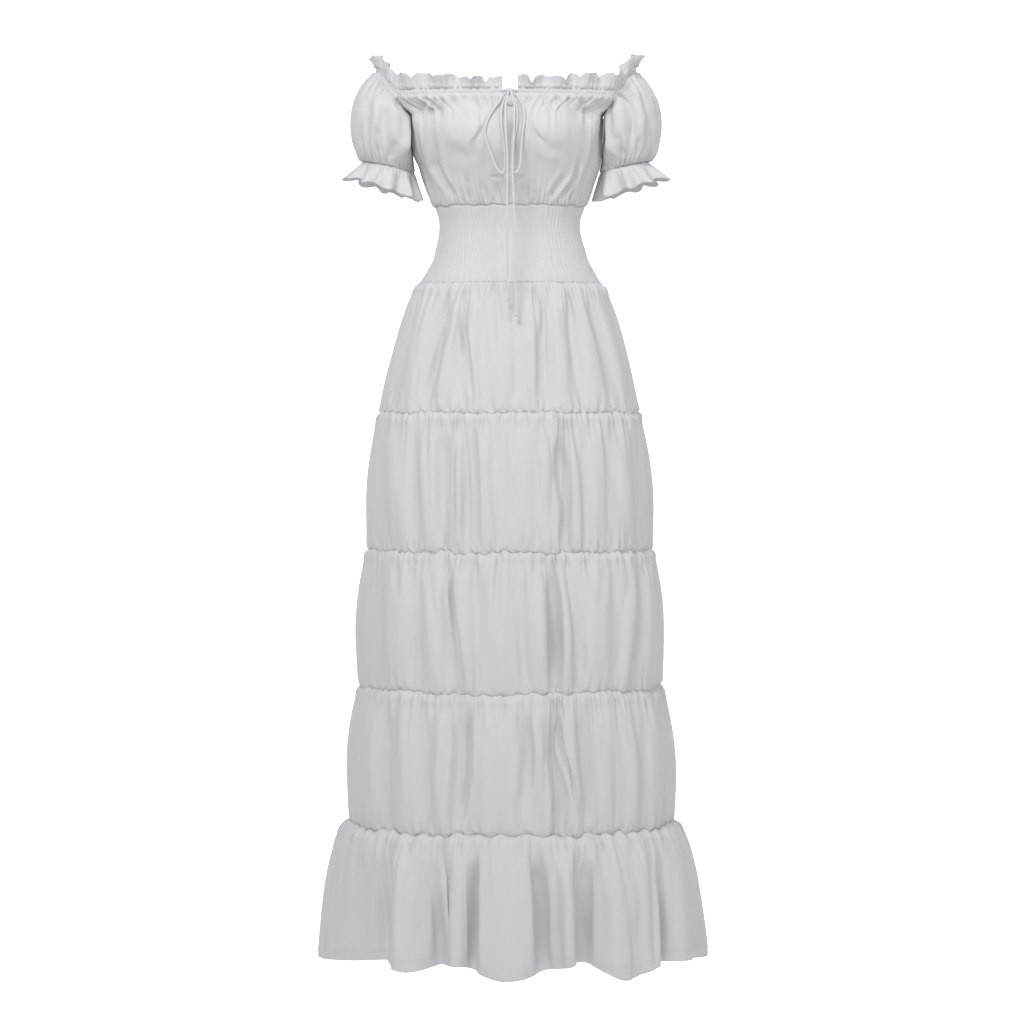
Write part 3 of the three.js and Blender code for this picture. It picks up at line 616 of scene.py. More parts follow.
def fold_depth(folds, angle, v, start, end):
    """How far the cloth lies inside its oval: troughs with ridges halfway between them."""
    places = np.array([mix(top, foot, v) for top, foot, _ in folds])
    middles = (places[1:] + places[:-1]) / 2
    ridges = [start, *middles, end]
    depth = 0
    for k, (place, (_, _, deep)) in enumerate(zip(places, folds)):
        inside = (angle >= ridges[k]) & (angle < ridges[k + 1])
        reach = np.where(angle < place, place - ridges[k], ridges[k + 1] - place)
        depth = depth + inside * deep * (0.5 + 0.5 * np.cos(np.pi * (angle - place) / reach)) ** 1.5
    return depth


def tier_fold(k, angle, v):
    """The depth of a tier's folds at angles from -90 to 270, at one share of its height."""
    front = fold_depth(ALL_FOLDS[k][0], angle, v, -90, 90)
    back = fold_depth(ALL_FOLDS[k][1], angle, v, 90, 270.01)
    depth = np.where(angle < 90, front, back)
    if k == LAST_TIER:
        return depth * mix(SEAM_HOLD, 1, smoothstep(v, 0, 0.75))
    return depth * (SEAM_HOLD + (1 - SEAM_HOLD) * max(math.sin(math.pi * v), 0) ** 0.7)


# %% The form of a tier
def tier_form(k, angle, shares):
    """The main form of a tier at angles round it and shares down it, with its folds."""
    rows = []
    out, peak = PUFFS[k]
    for v in shares:
        swell = out * max(math.sin(math.pi * v ** (math.log(0.5) / math.log(peak))), 0) ** 0.8
        half, front, back, shift = (mix(a, b, v) for a, b in zip(RINGS[k], RINGS[k + 1]))
        z = TIER_TOPS[k] - v * TIER_HEIGHTS[k]
        sewn = tier_fold(k - 1, angle, 1) if k else 0
        inset = mix(sewn, tier_fold(k, angle, v), smoothstep(v, 0, 0.3))
        ring = (half + swell, front + swell, back + swell, shift)
        outward = level_out(oval(angle - 0.5, *ring, z), oval(angle + 0.5, *ring, z))
        points = oval(angle, *ring, z) - outward * inset[..., None]
        if k == LAST_TIER:
            lift = np.where(angle < 90, read(HEM_LIFT, 1, angle), 0.45 * tier_fold(k, angle, 1))
            points[..., 2] += lift * v**3
        rows.append(points)
    return np.array(rows)


def even_angles(k, count):
    """Angles from -90 to 270 that are evenly spaced along the tier's middle ring."""
    fine = np.linspace(-90, 270, 4001)
    along = run_along(tier_form(k, fine, [0.5])[0])
    return np.interp(np.linspace(0, along[-1], count, endpoint=False), along, fine), along[-1]


# %% Seams of the skirt
def seam_inset(k, angle):
    """How far the thread pulls the seam above tier k in, the same for the cloth on both sides."""
    return 0.8 + ripples(angle, 50 + k, [31, 47, 67, 83], 0.5)


def seam_wave(k, angle):
    """How far the seam below tier k - 1 wanders up and down, as its gathers pull on it."""
    if k == 0:
        return ripples(angle, 10, [9, 14, 22, 61], 0.6)
    rise = 0.6 * tier_fold(k - 1, angle, 1)
    return rise + ripples(angle, 10 + k, [5, 9, 14], 1.1) + ripples(angle, 30 + k, [37, 53, 71, 89], 1.1)


# %% [markdown]
# Near its seams the cloth is pulled in by the thread. Above the seam it ends in short puckers, and
# below it the gathers open into a small roll that catches the light. The lower tier starts just
# behind the foot of the upper one, where the two are sewn together.

# %% Pleats of a tier
# Each kind has its mean distance, and the ranges of its width, depth and length.
TIER_PLEATS = {
    "long below": (30, (5, 11), (0.9, 2.6), (60, 190)),
    "long above": (40, (5, 10), (0.8, 2.2), (50, 150)),
    "short below": (8.5, (1.9, 4.2), (2, 5), (9, 66)),
    "short above": (10, (2.1, 4.2), (1.6, 4.4), (6, 32)),
}
SEAM_REACH = 70  # a seam's wander has faded this far from it
HEM_STITCHES = 16


def tier_pleats(k, along, girth, drop, climb):
    """The pleats of a tier and the roll below its upper seam."""
    relief = gathers(along, drop, girth, 100 + k, TIER_PLEATS["long below"])
    relief += gathers(along, climb, girth, 140 + k, TIER_PLEATS["long above"])
    relief += gathers(along, drop, girth, 200 + k, TIER_PLEATS["short below"])
    return relief + 1.4 * hump(drop, 9, 6)


# %% A tier of cloth
def tier_sheet(k, columns, rows):
    """The grid of a tier, from the seam above it to the seam below it or the hem."""
    angle, girth = even_angles(k, columns)
    along = np.linspace(0, girth, columns, endpoint=False)
    shares = crowded(np.linspace(0, 1, rows), 0.62)
    grid = tier_form(k, angle, shares)
    drop = (shares * TIER_HEIGHTS[k])[:, None]
    climb = TIER_HEIGHTS[k] - drop
    x, y, z = grid[..., 0], grid[..., 1], grid[..., 2]

    relief = smoothstep(-y, 0, 40) * creases(x, z, SKIRT_CREASES[k])
    relief += smoothstep(y, 0, 40) * creases(x, z, moved(SKIRT_CREASES[k], scale=-0.93, depth=0.8))
    relief += tier_pleats(k, along, girth, drop, climb)
    relief += 0.4 * np.sin(drop / 29 + ripples(angle, 40 + k, [3, 5, 8], 1.4))
    rise = seam_wave(k, angle) * near(drop, SEAM_REACH) + 1.2 * near(drop, 2.5)
    if k < LAST_TIER:
        relief += gathers(along, climb, girth, 300 + k, TIER_PLEATS["short above"])
        relief = (relief + 0.8) * smoothstep(climb, 0, 6) - seam_inset(k + 1, angle) * near(climb, 5)
        rise = rise + seam_wave(k + 1, angle) * near(climb, SEAM_REACH)
    else:
        hem_edge = np.cos(np.clip((climb - HEM_STITCHES + 2) / 1.6, -np.pi, np.pi))
        relief += 0.35 * hem_edge * (climb < HEM_STITCHES + 3)
    relief = relief * smoothstep(drop, 0, 4) - (seam_inset(k, angle) + TUCK) * near(drop, 5)
    grid += levelled(surface_out(grid, True)) * relief[..., None]
    grid[..., 2] += rise
    return grid


# %% The five tiers
TIER_COLUMNS = (560, 600, 620, 640, 660)
TIER_ROWS = 40
for k, columns in enumerate(TIER_COLUMNS):
    grid = tier_sheet(k, int(columns * DETAIL), int(TIER_ROWS * max(DETAIL, 0.6)))
    tier = cloth_piece(f"tier-{k + 1}", grid, [f"tier_{k + 1}_front", f"tier_{k + 1}_back"])
    print(tier.name, "is", round(along_rows(grid, True)[-1]), "mm round at its middle")

# %% [markdown]
# ## The shirred waist
#
# Rows of elastic thread are sewn across a wide panel, which then shrinks to the waist. Between two
# rows the spare cloth stands up in small upright ribs, and the ribs shift a little from one row to
# the next. A shallow dip marks each row of elastic.

# %% The torso
# Each row is (z, half width, front, back, shift).
TORSO = [
    (165, 143, 117, 90, -4), (140, 143, 120, 92, -3.5), (112, 140, 118, 92, -2),
    (92, 135, 111, 90, 0), (68, 127, 101, 87, 0.5), (45, 118.5, 92, 84, 1),
    (32, 112.5, 88, 82, 1.5), (15, 106.5, 84, 80, 1), (0, 105.5, 82, 80, 1),
    (-15, 108, 83, 82, 1.5), (-30, 112, 86, 86, 2), (-45, 116, 90, 91, 2.5),
    (-60, 123.5, 95, 97, 2.5), (-82, 137, 102, 106, 2),
]


def torso_ring(z):
    return [read(TORSO, column, z) for column in (1, 2, 3, 4)]


# %% Ribs of the waistband
RIB = {"deep": 1.25, "pitch": 6.2}
ELASTIC_PITCH = 9.5
WAIST_INSET = 0.5
WAIST_CREASE = [(-15, 31), (-16, -20), (-13, -76)]


def waist_wave(x):
    """How far the seam between bodice and waistband wanders up and down, as the gathers pull on it."""
    return 0.9 * np.sin(x / 6.1 + 1.5 * np.sin(x / 17)) + 0.7 * np.sin(x / 2.7 + 2 * np.sin(x / 23))


def waist_ribs(angle, drop, girth):
    """The height of the ribs, which sink at each row of elastic and shift from row to row."""
    row = drop / ELASTIC_PITCH
    shift = 0.9 * np.sin(2.1 * row + ripples(angle, 61, [2, 5, 9], 0.8))
    phase = np.radians(angle) * round(girth / RIB["pitch"]) + shift + ripples(angle, 60, [11, 17, 31], 0.9)
    uneven = 0.72 + 0.28 * np.sin(1.7 * row + ripples(angle, 62, [4, 7, 13], 1.6))
    rib = 0.5 + 0.5 * np.cos(phase)
    between = np.sin(np.pi * row) ** 2
    return -RIB["deep"] * uneven * (1 - rib**0.8) * (0.3 + 0.7 * between) - 0.3 * (1 - between)


# %% The waistband
def waist_sheet(columns, rows):
    """The grid of the waistband, from its upper seam to its lower one."""
    angle = np.linspace(-90, 270, columns, endpoint=False)
    z = np.linspace(WAIST_TOP - 0.3, WAIST_FOOT, rows)[:, None]
    grid = oval(angle, *torso_ring(z), z)
    x, y = grid[..., 0], grid[..., 1]
    drop = WAIST_TOP - z
    top, foot = near(drop, 5), near(z - WAIST_FOOT, 5)
    relief = waist_ribs(angle, drop, along_rows(grid, True)[-1]) * (1 - top) * (1 - foot)
    relief -= (WAIST_INSET + TUCK) * top + seam_inset(0, angle) * foot
    relief += smoothstep(-y, 0, 40) * crease(x, z + 0 * x, WAIST_CREASE, 4, 2)
    grid += levelled(surface_out(grid, True)) * relief[..., None]
    grid[..., 2] += 1.2 * near(drop, 2.5) + foot * seam_wave(0, angle)
    grid[..., 2] += waist_wave(x) * near(drop, 25)
    return grid


waist_grid = waist_sheet(int(780 * DETAIL), 49)
cloth_piece("waistband", waist_grid, ["waist_front", "waist_back"])
print("waistband is", round(along_rows(waist_grid, True)[-1]), "mm round, with its ribs")

# %% [markdown]
# ## The bodice
#
# The bodice is gathered on to the neckline and on to the waistband, so its cloth is loose over the
# bust and runs into the waist in slanting creases. The front is slit at its middle, down to a small
# sewn tack. Its inner edges follow the slit, and below it the two fronts meet in a seam.

# %% Sizes of the neckline and the bodice
LEAN = -4.5
NECK = {"half": 194, "front": 106, "back": 101, "z": 198, "rise": 39, "roundness": 2.4}
NECK_RISE_FROM = {"front": 156, "back": 154}
RAGLAN_ANGLE = 52
RAGLAN_SHARE = 2 / 3
UNDERARM = 165
UNDERARM_POINT = (146, 0, 170)
CASING = {"height": 8, "thick": 3.4, "out": -0.8}
KEYHOLE_MIDDLE = 0.5
# The slit's half width at each height.
KEYHOLE = [(198, 9), (180, 8.5), (160, 7.5), (140, 5.5), (118, 2.5), (96, 1.2), (71, 0.15), (32, 0.15)]
CUPS = {"angle": 29, "z": 138, "wide": 24, "tall": 34, "out": 12}
ARM_PUFF = {"angle": 71, "z": 158, "wide": 12, "tall": 36, "out": 26, "aside": 1}
SEAM = 0.3
SEAM_DROP = -CASING["height"] / 2 - SEAM


# %% The line of the neckline
def neck_point(angle, lift=0, out=0):
    """Points of the neckline at angles round from the front."""
    ring = (NECK["half"], NECK["front"], NECK["back"], 0, 0, NECK["roundness"])
    angle = np.asarray(angle, float)
    p = oval(angle, *ring)
    start = np.where(p[..., 1] < 0, NECK_RISE_FROM["front"], NECK_RISE_FROM["back"])
    rise = NECK["rise"] * smoothstep(np.abs(p[..., 0]), start, NECK["half"])
    outward = level_out(oval(angle - 1, *ring), oval(angle + 1, *ring))
    p = p + outward * np.asarray(out, float)[..., None]
    p[..., 0] += LEAN
    p[..., 2] = NECK["z"] + rise + lift
    return p


def neck_angle(x):
    """The angle at which the neckline's front passes an x."""
    return math.degrees(math.asin(signed_power((x - LEAN) / NECK["half"], NECK["roundness"] / 2)))


print("neckline is", round(run_along(neck_point(np.arange(361)))[-1]), "mm round")

# %% The raglan seam and the bodice's top edge
RAGLAN_BEND = 2.2  # above 1, the seam stays at the front for longer
RAGLAN_FALL = 0.75


def raglan(corner, side, t, gap):
    """The seam between bodice and sleeve, from the neckline's corner down to the underarm."""
    ux, uy, uz = UNDERARM_POINT
    x = mix(corner[..., 0], side * ux + LEAN, t) + gap
    y = mix(corner[..., 1], uy, t**RAGLAN_BEND)
    z = mix(corner[..., 2], uz, t**RAGLAN_FALL)
    return np.stack(np.broadcast_arrays(x, y, z), axis=-1)


def bodice_top(share, facing):
    """The bodice's top edge at shares across from -1 to 1: the neckline, then the raglan seams."""
    side = np.where(share < 0, -1.0, 1.0)
    u = np.abs(share)
    angle = side * np.minimum(u / RAGLAN_SHARE, 1) * RAGLAN_ANGLE
    if facing < 0:
        angle = 180 - angle
    neck = neck_point(angle, SEAM_DROP)
    t = np.clip((u - RAGLAN_SHARE) / (1 - RAGLAN_SHARE), 0, 1)
    seam = raglan(neck, side, t, -side * SEAM * 2 / 3)
    return np.where((u <= RAGLAN_SHARE)[..., None], neck, seam)


# %% The form of the bodice
def round_bump(angle, z, place):
    """A round bump of height 1 on both sides of the front, at a place with its size."""
    across = (np.abs(angle) - place["angle"]) / place["wide"]
    return np.exp(-(across**2) - ((z - place["z"]) / place["tall"]) ** 2)


def bodice_form(share, up, facing):
    """The bodice's outside at shares across and up."""
    share, up = np.broadcast_arrays(np.asarray(share, float), np.asarray(up, float))
    top = bodice_top(share, facing)
    z = mix(WAIST_TOP + SEAM, top[..., 2], up)
    ring = torso_ring(np.minimum(z, UNDERARM))
    angle = 90 * share if facing > 0 else 180 - 90 * share
    p = oval(angle, *ring, z)
    if facing > 0:
        puff = round_bump(angle, z, ARM_PUFF)
        p[..., 0] += ARM_PUFF["aside"] * np.sign(share) * puff
        p[..., 1] -= CUPS["out"] * round_bump(angle, z, CUPS) + ARM_PUFF["out"] * puff
    t = np.where(z > UNDERARM, smoothstep((z - UNDERARM) / np.maximum(top[..., 2] - UNDERARM, 1e-6), 0, 1), 0)
    p[..., 0] = mix(p[..., 0], top[..., 0], t)
    p[..., 1] = mix(p[..., 1], top[..., 1], t)
    return p


def share_at(x, up):
    """The share across at which the front passes an x, at each height."""
    low, high = np.full(np.shape(up), -0.5), np.full(np.shape(up), 0.5)
    for _ in range(30):
        middle = (low + high) / 2
        under = bodice_form(middle, up, 1)[..., 0] < x
        low, high = np.where(under, middle, low), np.where(under, high, middle)
    return (low + high) / 2


# %% [markdown]
# The front's creases were read one by one. Short gathers leave the casing, a soft one runs under
# each side of the bust, and long slanting ones end at the waist, where the cloth is drawn in.

# %% Creases of the bodice's front
FRONT_CREASES = [
    (5, 3.0, (-112, 132), (-107, 90), (-84, 47)),
    (3.5, 3.2, (-110, 92), (-90, 60), (-79, 38)),
    (9, 1.1, (-104, 122), (-84, 108), (-61, 104), (-42, 118)),
    (5, 1.5, (-33, 165), (-38, 138), (-50, 112), (-48, 84)),
    (7, 1.3, (31, 150), (42, 130), (58, 112), (84, 108)),
    (3, 3.6, (72, 36), (97, 72), (105, 100)),
    (4, 2.4, (56, 38), (86, 80)),
    (4.5, 2.2, (-120, 190), (-131, 160)),
    (3.6, 2.4, (-108, 191), (-115, 152)),
    (3.2, 2.2, (-94, 192), (-103, 160)),
    (3, 1.8, (-80, 193), (-84, 172)),
    (3, 1.6, (-66, 193), (-66, 176)),
    (3, 1.8, (-50, 193), (-46, 174)),
    (3, 2, (-38, 192), (-32, 172)),
    (3, 1.8, (-24, 192), (-19, 170)),
    (2.6, 1.8, (30, 192), (26, 172)),
    (3, 2.2, (50, 192), (55, 172)),
    (3.2, 2.4, (69, 192), (78, 172)),
    (3.2, 2.2, (84, 191), (95, 172)),
    (3.8, 2.6, (103, 191), (119, 150)),
    (4.5, 2.4, (-134, 186), (-140, 142), (-129, 90), (-110, 40)),
    (5, 2.4, (128, 180), (134, 140), (124, 92), (104, 40)),
    (2.8, 1.8, (-33, 152), (-44, 132), (-57, 113)),
    (2.8, 2.2, (26, 163), (36, 137), (53, 116)),
    (2.6, 1.1, (-30, 72), (-6, 70)),
    (2.6, 1.1, (8, 70), (24, 71)),
    (4, 1.6, (-40, 62), (-30, 36)),
    (3.4, 1.6, (-18, 64), (-15, 36)),
    (4, 1.6, (30, 62), (26, 36)),
    (5, 1.6, (-62, 74), (-58, 36)),
]
print("creases on the bodice's front:", len(FRONT_CREASES))

# %% Creases of the back, and pleats
# Each kind of pleat has its mean distance, and the ranges of its width, depth and length.
BACK_CREASES = [
    (5, 2.4, (-96, 130), (-84, 80), (-60, 38)),
    (4, 2.6, (92, 110), (78, 70), (56, 36)),
    (5, 2, (-36, 150), (-30, 90), (-34, 40)),
    (5, 2.2, (20, 160), (26, 100), (18, 40)),
    (4, 2, (64, 186), (70, 130)),
    (4, 2, (-70, 186), (-78, 136)),
    (5, 2, (-128, 150), (-118, 80), (-98, 40)),
    (5, 2, (126, 150), (116, 84), (96, 40)),
]


BODICE_PLEATS = {
    "neck": (8, (1.9, 3.6), (1.2, 3.6), (10, 52)),
    "long": (22, (4, 8), (0.8, 2.2), (40, 120)),
    "waist": (8, (1.9, 3.6), (1.6, 4.2), (8, 48)),
}
HALF_FRONT = 240  # the cloth from the middle to the side, in millimetres
PLEATS_FROM = 300  # pleats are spread from this far left of the middle
PLEATS_OVER = 620
DEEPEST, HIGHEST = -7, 2.6


def casing_roll(drop):
    """The small roll that gathered cloth makes below the casing."""
    return 1.6 * hump(drop, 4.5, 3) - 0.8 * near(drop, 3)


# %% A bodice panel
def bodice_sheet(shares, rows, facing, seed, slit_column=None):
    """A bodice panel over columns of shares, given for each row, with its creases and gathers."""
    grid = bodice_form(shares, np.linspace(1, 0, rows)[:, None], facing)
    x, z = grid[..., 0], grid[..., 2]
    drop = np.abs(bodice_top(shares, facing)[..., 2] - z)
    climb = z - WAIST_TOP
    along = shares * HALF_FRONT + PLEATS_FROM
    neck = smoothstep(RAGLAN_SHARE - np.abs(shares), -0.02, 0.04)

    relief = 1.5 * creases(x, z, FRONT_CREASES if facing > 0 else BACK_CREASES)
    relief += neck * gathers(along, drop, PLEATS_OVER, 400 + seed, BODICE_PLEATS["neck"], False)
    relief += gathers(along, drop, PLEATS_OVER, 440 + seed, BODICE_PLEATS["long"], False)
    relief += gathers(along, climb, PLEATS_OVER, 420 + seed, BODICE_PLEATS["waist"], False)
    relief += 0.35 * np.sin(z / 17 + 2.2 * np.sin(x / 31 + seed)) + 0.5 * hump(climb, 8, 6)
    relief *= smoothstep(drop, 0, 7) * smoothstep(climb, 0.2, 3.5) * smoothstep(1 - np.abs(shares), 0, 0.03)
    if slit_column is not None:
        edge = np.abs(shares - shares[:, [slit_column]]) * HALF_FRONT
        relief *= smoothstep(edge, 2, 12)
    relief = np.clip(relief, DEEPEST, HIGHEST) - WAIST_INSET * near(climb, 5, 0.2) + neck * casing_roll(drop)
    rise = 1.6 * neck * near(drop, 3) + waist_wave(x) * near(climb, 30)
    grid += surface_out(grid) * relief[..., None]
    grid[..., 2] += rise
    return grid


# %% Columns of the front
FRONT_SPLIT = 0.68  # this share of the columns lies between the slit and the raglan seam


def front_shares(side, columns, rows):
    """The front's shares: the first column follows the slit, one column stands at the raglan."""
    up = np.linspace(1, 0, rows)
    middle = bodice_form(np.zeros(rows), up, 1)[..., 2]
    half = np.maximum(read(KEYHOLE, 1, middle), SEAM / 2)
    first = share_at(KEYHOLE_MIDDLE + side * half, up)[:, None]
    split = int(columns * FRONT_SPLIT)
    inner = np.linspace(0, 1, split, endpoint=False)[None]
    outer = np.linspace(RAGLAN_SHARE, 1, columns - split)[None]
    shares = np.hstack([mix(first, side * RAGLAN_SHARE, inner), side * outer + 0 * first])
    return shares[:, ::-1] if side < 0 else shares


# %% The panels of the bodice
SIDES = {"left": -1, "right": 1}
SLIT_COLUMN = {"left": -1, "right": 0}
BODICE_ROWS = int(84 * max(DETAIL, 0.5))
for word, side in SIDES.items():
    shares = front_shares(side, int(118 * DETAIL), BODICE_ROWS)
    grid = bodice_sheet(shares, BODICE_ROWS, 1, 2 + side, SLIT_COLUMN[word])
    cloth_piece("bodice-front-" + word, grid, ["bodice_front_" + word], closed=False)

half_back = int(84 * DETAIL)
back_shares = np.concatenate([
    np.linspace(1, RAGLAN_SHARE, half_back // 3, endpoint=False),
    np.linspace(RAGLAN_SHARE, -RAGLAN_SHARE, half_back),
    np.linspace(-RAGLAN_SHARE, -1, half_back // 3 + 1)[1:],
])[None]
back_grid = bodice_sheet(np.repeat(back_shares, BODICE_ROWS, axis=0), BODICE_ROWS, -1, 2)
cloth_piece("bodice-back", back_grid, ["bodice_back"], closed=False)
print("bodice:", len(SIDES) + 1, "panels of", BODICE_ROWS, "rows")

# %% [markdown]
# A narrow binding is folded over each edge of the slit. It is a flat strip with rounded edges that
# lies on the front. At the slit's foot the two edges are sewn together with a short bar of thread.

# %% The slit's edges
BINDING = {"wide": 4.5, "thick": 1, "foot": 64, "rows": 60}
TACK = {"thick": 1.8, "out": 1.6}
TACK_ROUTE = [(-6, 0, 70.5), (-2, 0, 71.6), (1, 0, 71.8), (4, 0, 71.4), (7, 0, 70.3)]


def rounded_strip(inner, outer, out, low, high):
    """A closed strip between two lines, low and high above the cloth, with rounded edges."""
    across = np.linspace(0, 1, 6)
    lifts = [mix(low, high, 0.35 + 0.65 * math.sin(math.pi * t) ** 0.5) for t in across]
    top = [mix(inner, outer, t) + out * lift for t, lift in zip(across, lifts)]
    base = [mix(inner, outer, t) + out * low for t in across[::-1]]
    return np.stack([*top, *base], axis=1)


for word, side in SIDES.items():
    rows = BINDING["rows"]
    grid = bodice_form(front_shares(side, rows, rows), np.linspace(1, 0, rows)[:, None], 1)
    edge = grid[:, SLIT_COLUMN[word]]
    edge = edge[edge[:, 2] > BINDING["foot"]]
    run = grid[:, 3] - grid[:, 0] if side > 0 else grid[:, -1] - grid[:, -4]
    run = levelled(run[: len(edge)])
    out = np.stack([run[:, 1], -run[:, 0], 0 * run[:, 0]], axis=-1)
    width = side * BINDING["wide"] * run
    pair = (edge, edge + width) if side > 0 else (edge + width, edge)
    strip = rounded_strip(*pair, out, SEAM, SEAM + BINDING["thick"])
    add_to_dress(mesh_object("keyhole-edge-" + word, strip, True), "trim", ["keyhole_edge_" + word])
    print("slit's edge", word, "is", round(run_along(edge)[-1]), "mm long")

# %% The tack at the slit's foot
tack_up = np.array([0.25])
tack_line = np.array(TACK_ROUTE, float)
tack_line[:, 1] = bodice_form(share_at(1.0, tack_up), tack_up, 1)[0, 1] - TACK["out"]
tack = mesh_object("keyhole-tack", tube_grid(smooth_route(tack_line, 0.8), TACK["thick"] / 2, 8), True)
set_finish(tack, "trim")
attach(tack, "root")
print("tack at a height of", TACK_ROUTE[2][2], "mm")

# %% [markdown]
# ## The sleeves
#
# Each sleeve is a short tube, cut much wider than the arm. Its top is gathered into the neckline
# and its foot into an elastic, so it stands out as a puff with upright folds, and its wall rolls in
# under the elastic. The frill below is the same cloth, let out again.

# %% Sizes of the sleeves
# Each section has (outer x, outer z, inner x, inner z, depth, shift), from the puff down to the elastic.
SLEEVE = [
    (213, 216, 148.5, 163, 67, 0), (227, 190, 147, 150, 69, 1), (232.5, 160, 145.5, 134, 68, 2),
    (230.5, 133, 143.5, 116, 63, 2), (224, 112, 140.5, 98, 54, 2), (215, 100, 138, 84, 45, 2),
]
CUFF_FRILL = (242, 76, 135, 43, 69, 4)
SLEEVE_MIDDLE = 3
RAGLAN_TURN = 5 / 24
# How far a sleeve's inner corners reach inwards, and out to the front and back.
WRAP = {"left": 18, "right": 17, "out": 12}

# %% Creases and pleats of the sleeves
SLEEVE_CREASES = {
    "left": [
        (6, 2.4, (-186, 186), (-188, 140), (-184, 100)),
        (5, 2.2, (-205, 200), (-214, 160), (-208, 118)),
        (5, 2, (-168, 190), (-172, 150), (-168, 112)),
        (4, 2.4, (-196, 150), (-194, 104)),
        (5, 1.8, (-222, 160), (-220, 120)),
        (4, 2, (-156, 150), (-158, 100)),
        (4, 2, (-178, 130), (-177, 98)),
    ],
    "right": [
        (6, 2.2, (158, 196), (162, 150), (160, 104)),
        (5, 2, (178, 204), (186, 160), (182, 112)),
        (5, 2, (196, 206), (208, 164), (204, 116)),
        (4, 2.4, (150, 150), (152, 104)),
        (4, 2, (170, 140), (171, 100)),
        (5, 1.6, (214, 170), (214, 124)),
        (4, 1.8, (192, 136), (191, 104)),
    ],
}
SLEEVE_PLEATS = {
    "neck": (8.5, (2, 4), (1.6, 4.4), (12, 60)),
    "long": (20, (4.5, 8), (1.2, 3.2), (40, 110)),
    "elastic": (9, (2.1, 4.2), (1.8, 4.6), (8, 56)),
    "frill": (8, (1.5, 2.8), (0.8, 2.2), (6, 26)),
}
SLEEVE_ROUND, CUFF_ROUND = 420, 380
SLEEVE_DEEPEST, SLEEVE_HIGHEST = -8, 3.2
ELASTIC_INSET = 1.2


# %% The form of a sleeve
def sleeve_top(w):
    """The top edge of the right sleeve, once round from the underarm by way of the front."""
    front, back = RAGLAN_ANGLE, 180 - RAGLAN_ANGLE
    t = np.clip((w - RAGLAN_TURN) / (1 - 2 * RAGLAN_TURN), 0, 1)
    edge = neck_point(mix(front, back, t), SEAM_DROP)
    before = raglan(neck_point(front, SEAM_DROP), 1, np.clip(1 - w / RAGLAN_TURN, 0, 1), SEAM * 2 / 3)
    after = raglan(neck_point(back, SEAM_DROP), 1, np.clip(1 - (1 - w) / RAGLAN_TURN, 0, 1), SEAM * 2 / 3)
    return np.where((w < RAGLAN_TURN)[:, None], before, np.where((w > 1 - RAGLAN_TURN)[:, None], after, edge))


def sleeve_ring(w, side, section):
    """One ring of a sleeve at shares w round it, from the underarm by way of the front."""
    out_x, out_z, in_x, in_z, deep, shift = section
    across = (1 - np.cos(2 * np.pi * w)) / 2
    x = side * mix(in_x, out_x, across) + LEAN + shift * (1 - across)
    y = SLEEVE_MIDDLE - deep * np.sin(2 * np.pi * w)
    return np.stack([x, y, mix(in_z, out_z, across)], axis=-1)


def sleeve_form(w, side, rows):
    """A smooth tube through the top edge and the sections, at shares w round it."""
    edge = sleeve_top(w)
    if side < 0:
        edge[:, 0] = 2 * LEAN - edge[:, 0]
    rings = np.array([edge, *[sleeve_ring(w, side, section) for section in SLEEVE]])
    last = len(rings) - 1
    at = crowded(np.linspace(0, 1, rows), 0.35) * last
    k = np.clip(at.astype(int), 0, last - 1)
    a, b = rings[k], rings[k + 1]
    leave = (b - rings[np.maximum(k - 1, 0)]) / np.where(k == 0, 1, 2)[:, None, None]
    arrive = (rings[np.minimum(k + 2, last)] - a) / np.where(k == last - 1, 1, 2)[:, None, None]
    return hermite(a, b, leave, arrive, (at - k)[:, None, None])


# %% The cloth of a sleeve
def sleeve_relief(grid, w, side, down):
    """The creases and pleats of a sleeve, calm along its seams, and the rise of its top edge."""
    x, y, z = grid[..., 0], grid[..., 1], grid[..., 2]
    climb = down[-1] - down
    lines = SLEEVE_CREASES["right" if side > 0 else "left"]
    relief = 2.4 * smoothstep(SLEEVE_MIDDLE - y, 0, 25) * creases(x, z, lines)
    relief += 1.5 * smoothstep(y - SLEEVE_MIDDLE, 0, 25) * creases(x, z, moved(lines, shift=side * 5))
    underarm = np.minimum(w, 1 - w)
    neck = smoothstep(underarm, RAGLAN_TURN - 0.02, RAGLAN_TURN + 0.03)
    along = w * SLEEVE_ROUND
    relief += neck * gathers(along, down, SLEEVE_ROUND, 500 + side, SLEEVE_PLEATS["neck"])
    relief += gathers(along, climb, SLEEVE_ROUND, 520 + side, SLEEVE_PLEATS["elastic"])
    relief += gathers(along, down, SLEEVE_ROUND, 540 + side, SLEEVE_PLEATS["long"])
    relief *= smoothstep(down, 0, 6) * smoothstep(underarm + down / 90, 0, 0.1)
    relief = np.clip(relief, SLEEVE_DEEPEST, SLEEVE_HIGHEST) * smoothstep(climb, 0, 5)
    return relief - ELASTIC_INSET * near(climb, 4) + neck * casing_roll(down), 1.6 * neck * near(down, 3)


def sleeve_sheet(side, columns, rows):
    w = np.arange(columns) / columns
    grid = sleeve_form(w, side, rows)
    if side < 0:
        grid, w = grid[:, ::-1], w[::-1]
    down = down_columns(grid)[:, None]
    relief, rise = sleeve_relief(grid, w, side, down)
    grid = grid + surface_out(grid, True) * relief[..., None]
    corner = hump(w, 0.15, 0.065) - hump(w, 0.85, 0.065)
    corner = corner * smoothstep(down, 2, 34) * smoothstep(down[-1] - down, 0, 40)
    grid[..., 0] -= side * WRAP["right" if side > 0 else "left"] * np.abs(corner)
    grid[..., 1] -= WRAP["out"] * corner
    grid[..., 2] += rise
    return grid


